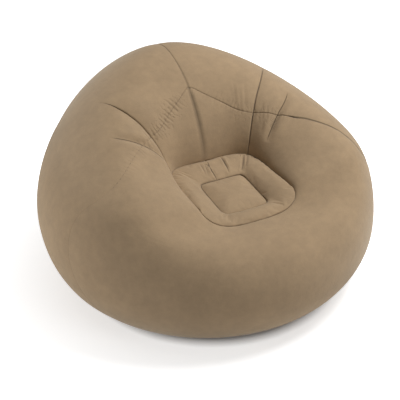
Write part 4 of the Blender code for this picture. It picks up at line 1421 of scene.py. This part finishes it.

# %% [markdown]
# ## Weld beads and marks
#
# The bead lies at the bottom of every groove, so its path is the seam's line sunk by the same
# profile as the skins, and it takes the groove's painted shade. The marks sit on the wrinkled ring
# seam alone, where the photograph shows them, in a dark vinyl that is painted shade for the
# shadows of the puckers.

# %% Beads on all seams, marks on the wrinkled one
BEAD_RADIUS, BEAD_SINK, BEAD_END = 0.0006, 0.00055, 2.97
CORNER_START, MARK_START, MARK_END = 4, 14, 1.03
SEAT_BEAD_SINK, RECESS_BEAD_SINK = 0.0012, 0.0008
# Marks: dark lenses of painted shade for the shadows of the puckers
MARK_SIZE, MARK_SPACING, MARK_SHADE = (0.0042, 0.0010, 0.0009), 0.019, 0.9
# The bead round the valve skirt carries a light painted shade
SKIRT_WELD_RADIUS, SKIRT_SHADE = 0.032, 0.2
PUCKER_SHADE_VINYL = plain_vinyl("pucker_shade_vinyl", (0.15, 0.105, 0.062), 0.6, 0.0001)
AROUND = np.linspace(0, 2 * math.pi, 97)


def seam_path(line, first, last, dark=None):
    """The stretch of a seam from one sample to another, sunk as deep as the skins are there."""
    angle, girth, points = (array[first:last] for array in (line.angle, line.girth, line.points))
    outward = surface_normals(angle, girth)
    sunk, near = seam_relief(points[None], girth[None])
    sunk = (sunk + fold_relief(points[None]))[0] + BEAD_SINK
    # The darkness carried along is the painted groove shade, partly pressed nap
    return points - outward * sunk[:, None], outward, near[0] if dark is None else dark


def closed_path(points, outward, sink, dark):
    return points - np.asarray(outward) * sink, np.broadcast_to(outward, points.shape), dark


def make_beads():
    paths = []
    for name, line in SEAMS.items():
        last = int(np.searchsorted(line.girth, BEAD_END)) if line.girth[-1] > BEAD_END else None
        paths.append(seam_path(line, CORNER_START if name.startswith("corner") else 0, last))
    # The seat's beads carry the painted shade of the seat's edges
    paths.append(closed_path(seat_edge(0), (0, 0, 1), SEAT_BEAD_SINK, EDGE_SHADE))
    paths.append(closed_path(recess_edge(0), (0, 0, 1), RECESS_BEAD_SINK, EDGE_SHADE))
    x, up = SKIRT_WELD_RADIUS * np.cos(AROUND), SKIRT_WELD_RADIUS * np.sin(AROUND)
    z = VALVE_HEIGHT + up
    round_valve = np.column_stack([x, back_depth(x, z), z])
    paths.append(closed_path(round_valve, (0, 1, 0), BEAD_SINK, SKIRT_SHADE))
    carrier = line_mesh("weld_lines", paths)
    return grown("weld_beads", carrier, BEAD_TREE, Radius=BEAD_RADIUS, Material=FLOCKED)


def make_marks():
    line = SEAMS["ring_right"]
    last = int(np.searchsorted(line.girth, MARK_END))
    carrier = line_mesh("mark_line", [seam_path(line, MARK_START, last, MARK_SHADE)])
    values = {"Spacing": MARK_SPACING, "Size": MARK_SIZE, "Material": PUCKER_SHADE_VINYL}
    return grown("weld_marks", carrier, ROW_TREE, **values)


weld_beads, weld_marks = make_beads(), make_marks()
print("faces:", {piece.name: len(piece.data.polygons) for piece in (weld_beads, weld_marks)})

# %% [markdown]
# ## Moulded pieces
#
# The valve is moulded from soft vinyl, so every edge is rounded and the gloss is low. Its pieces
# are turned shapes about one axis, with straps. A Screw or Spin tool would turn them too. Here
# each profile is a short list of corners in millimetres, rounded first and then turned, so the
# sizes can be read off the list.

# %% Turned shapes and straps
MM = 0.001


def rounded(profile, radius, steps=4):
    """A closed profile with rounded corners. Points on the axis stay as they are."""
    profile = np.array(profile, float) * MM
    result = []
    neighbours = np.roll(profile, 1, axis=0), profile, np.roll(profile, -1, axis=0)
    for before, here, after in zip(*neighbours):
        if here[0] == 0:
            result.append(here)
            continue
        back, ahead = before - here, after - here
        sizes = np.linalg.norm(back), np.linalg.norm(ahead)
        cut = min(radius * MM, 0.45 * min(sizes))
        start, end = here + back / sizes[0] * cut, here + ahead / sizes[1] * cut
        for share in np.linspace(0, 1, steps + 1):
            rest = 1 - share
            result.append(rest**2 * start + 2 * share * rest * here + share**2 * end)
    return result


def turned(bm, profile, radius=0.4, on_back=False, around=64):
    """Spins a closed profile, as (radius, out) in millimetres, about the valve's axis."""
    rows = []
    turn = np.arange(around) * 2 * math.pi / around
    for size, out in rounded(profile, radius):
        if size < TINY:
            rows.append([bm.verts.new((0, VALVE_BACK + out, VALVE_HEIGHT))] * around)
            continue
        x, z = size * np.cos(turn), VALVE_HEIGHT + size * np.sin(turn)
        y = out + (back_depth(x, z) if on_back else np.full_like(x, VALVE_BACK))
        rows.append([bm.verts.new(place) for place in np.column_stack([x, y, z])])
    for first, second in zip(rows, rows[1:] + rows[:1]):
        for index in range(around):
            corners = (first[index], first[index - 1], second[index - 1], second[index])
            corners = list(dict.fromkeys(corners))
            if len(corners) > 2:
                bm.faces.new(corners)


def strap(bm, width, out, rise, bevel=0.35):
    """A rounded slab, from and to distances in millimetres out of the back and up the valve."""
    made = bmesh.ops.create_cube(bm, size=1)["verts"]
    low = np.array((-width / 2, out[0], rise[0])) * MM
    high = np.array((width / 2, out[1], rise[1])) * MM
    middle = (low + high) / 2 + (0, VALVE_BACK, VALVE_HEIGHT)
    for vertex in made:
        vertex.co = Vector(np.array(vertex.co) * (high - low) + middle)
    edges = {edge for vertex in made for edge in vertex.link_edges}
    bmesh.ops.bevel(bm, geom=list(edges), offset=bevel * MM, segments=3, affect="EDGES")


def valve_piece(name, material, rings, straps, start=None):
    """Turned rings and straps, joined with a mesh to start from into one moulded piece."""
    bm = bmesh.new()
    if start:
        bm.from_mesh(start)
    for ring in rings:
        turned(bm, *ring)
    for slab in straps:
        strap(bm, *slab)
    bmesh.ops.recalc_face_normals(bm, faces=bm.faces)
    mesh = bpy.data.meshes.new(name)
    bm.to_mesh(mesh)
    bm.free()
    mesh.shade_smooth()
    mesh.set_sharp_from_angle(angle=math.radians(50))
    print(name, len(mesh.polygons), "faces")
    return add_piece(name, mesh, material)


def moulded(name, colour):
    def patterns(tree):
        shade = spread(tree, noise(tree, 120), 0.95, 1.04)
        worn = spread(tree, noise(tree, 260, 3), 0.34, 0.48)
        return shade, worn, [(noise(tree, 90, 1), 0.0002), (noise(tree, 1500, 1), 0.00004)]

    gloss = {"Specular_IOR_Level": 0.5, "Coat_Weight": 0.08, "Coat_Roughness": 0.3}
    return make_material(name, colour, 0.4, patterns, **gloss)


MOULDED_TAUPE = moulded("moulded_taupe", (0.18, 0.135, 0.095))
MOULDED_CREAM = moulded("moulded_cream", (0.55, 0.50, 0.42))

# %% [markdown]
# ## Valve
#
# The valve sits low on the back. A soft flange is welded to the film, and its collar holds a
# stopper that pulls out to let the air go. The stopper has a cap over the filling bore, and a
# thin flap behind it shuts when air pushes from inside. Ribs on the stopper's rim give a grip:
# they are the same row of lenses as the marks, set round a circle.

# %% Flange, stopper, flap and cap
COLLAR = ((16.2, -5), (18.5, -5), (18.5, 3), (16.2, 3))
SKIRT_RADII = (17.4, 21, 25, 29, 32, 35)
SKIRT = [(radius, -0.95) for radius in SKIRT_RADII]
SKIRT += [(radius, -1.65) for radius in reversed(SKIRT_RADII)]
STOPPER = (
    (9, -7.7), (14.5, -7.7), (14.9, -4.4), (15.15, -4.0), (15.05, -3.4), (15.5, 0.2), (15.8, 0.6),
    (15.6, 1.2), (15.9, 3.3), (20, 3.3), (20, 5.3), (17.6, 5.3), (17.2, 5.0), (14.2, 5.0),
    (13.8, 5.3), (9, 5.3),
)
FLAP = ((0, -8.8), (10.5, -8.8), (10.5, -8.0), (0, -8.0))
CAP = (
    (0, -0.4), (7.4, -0.4), (7.9, 2.4), (8.2, 2.8), (8.1, 3.3), (8.55, 5.6), (12, 5.6),
    (12, 7.2), (8.2, 7.2), (7.0, 6.7), (0, 6.6),
)
RIM_RADIUS, RIM_OUT, RIBS, RIB_SIZE = 0.0199, 0.0043, 56, (0.0004, 0.0008, 0.0004)


def rim_ribs():
    outward = np.column_stack([np.cos(AROUND), 0 * AROUND, np.sin(AROUND)])
    rim = outward * RIM_RADIUS + (0, VALVE_BACK + RIM_OUT, VALVE_HEIGHT)
    values = {"Spacing": 2 * math.pi * RIM_RADIUS / RIBS, "Size": RIB_SIZE, "Variation": 0.0}
    carrier = line_mesh("rim_line", [(rim, outward, 0)])
    ribs = grown("rim_ribs", carrier, ROW_TREE, Material=MOULDED_CREAM, **values)
    mesh = ribs.data
    bpy.data.objects.remove(ribs)
    return mesh


# Rings: profile, rounding and whether it follows the back. Straps: width, out, rise and bevel.
valve_flange = valve_piece(
    "valve_flange_fine", MOULDED_TAUPE,
    [(COLLAR, 0.6), (SKIRT, 0.2, True)], [(8, (0.3, 1.9), (17.35, 25.2))],
)
valve_stopper = valve_piece(
    "valve_stopper_fine", MOULDED_CREAM,
    [(STOPPER, 0.35)], [(8, (3.4, 4.4), (18, 28.4), 0.3), (7.8, (1.25, 4.5), (27, 28.5), 0.3)],
    rim_ribs(),
)
valve_flap = valve_piece(
    "valve_check_flap_fine", MOULDED_TAUPE, [(FLAP, 0.3)], [(6, (-8.7, -8.1), (7.5, 11.8), 0.2)]
)
valve_cap = valve_piece(
    "valve_cap_fine", MOULDED_CREAM, [(CAP, 0.4)], [(6, (5.75, 7.0), (-15.5, -9))]
)

# %% [markdown]
# ## Join
# Each fine piece takes the place of a packed one: it rides on the same body, so that the stopper,
# the cap and the flap still swing, and the packed piece is hidden. The skins that hold air
# are marked as padded, with how full they are.

# %% Join the pieces to the frame
def dress(piece, body, slot, *nodes):
    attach(piece, body)
    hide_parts(*nodes)


paired = [panel.format(side) for panel in PAIRED for side, _ in SIDES]
blown = {
    "arms_front_panel": front_skin,
    **{panel: skins[panel] for panel in paired},
    "rear_panel": rear_skin,
    "seat_ring_panel": seat_ring,
    "seat_centre_panel": seat_centre,
}
for panel, piece in {**blown, "base_panel": base_skin}.items():
    dress(piece, "chair", panel, panel)
for extra in (weld_beads, weld_marks):
    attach(extra, "chair")
dress(valve_flange, "chair", "valve_flange", "valve_flange")
dress(valve_stopper, "stopper", "valve_stopper", "valve_stopper")
dress(valve_flap, "check_flap", "valve_check_flap", "valve_check_flap")
dress(valve_cap, "cap", "valve_cap", "valve_cap")
print("joined:", len(blown), "padded skins")
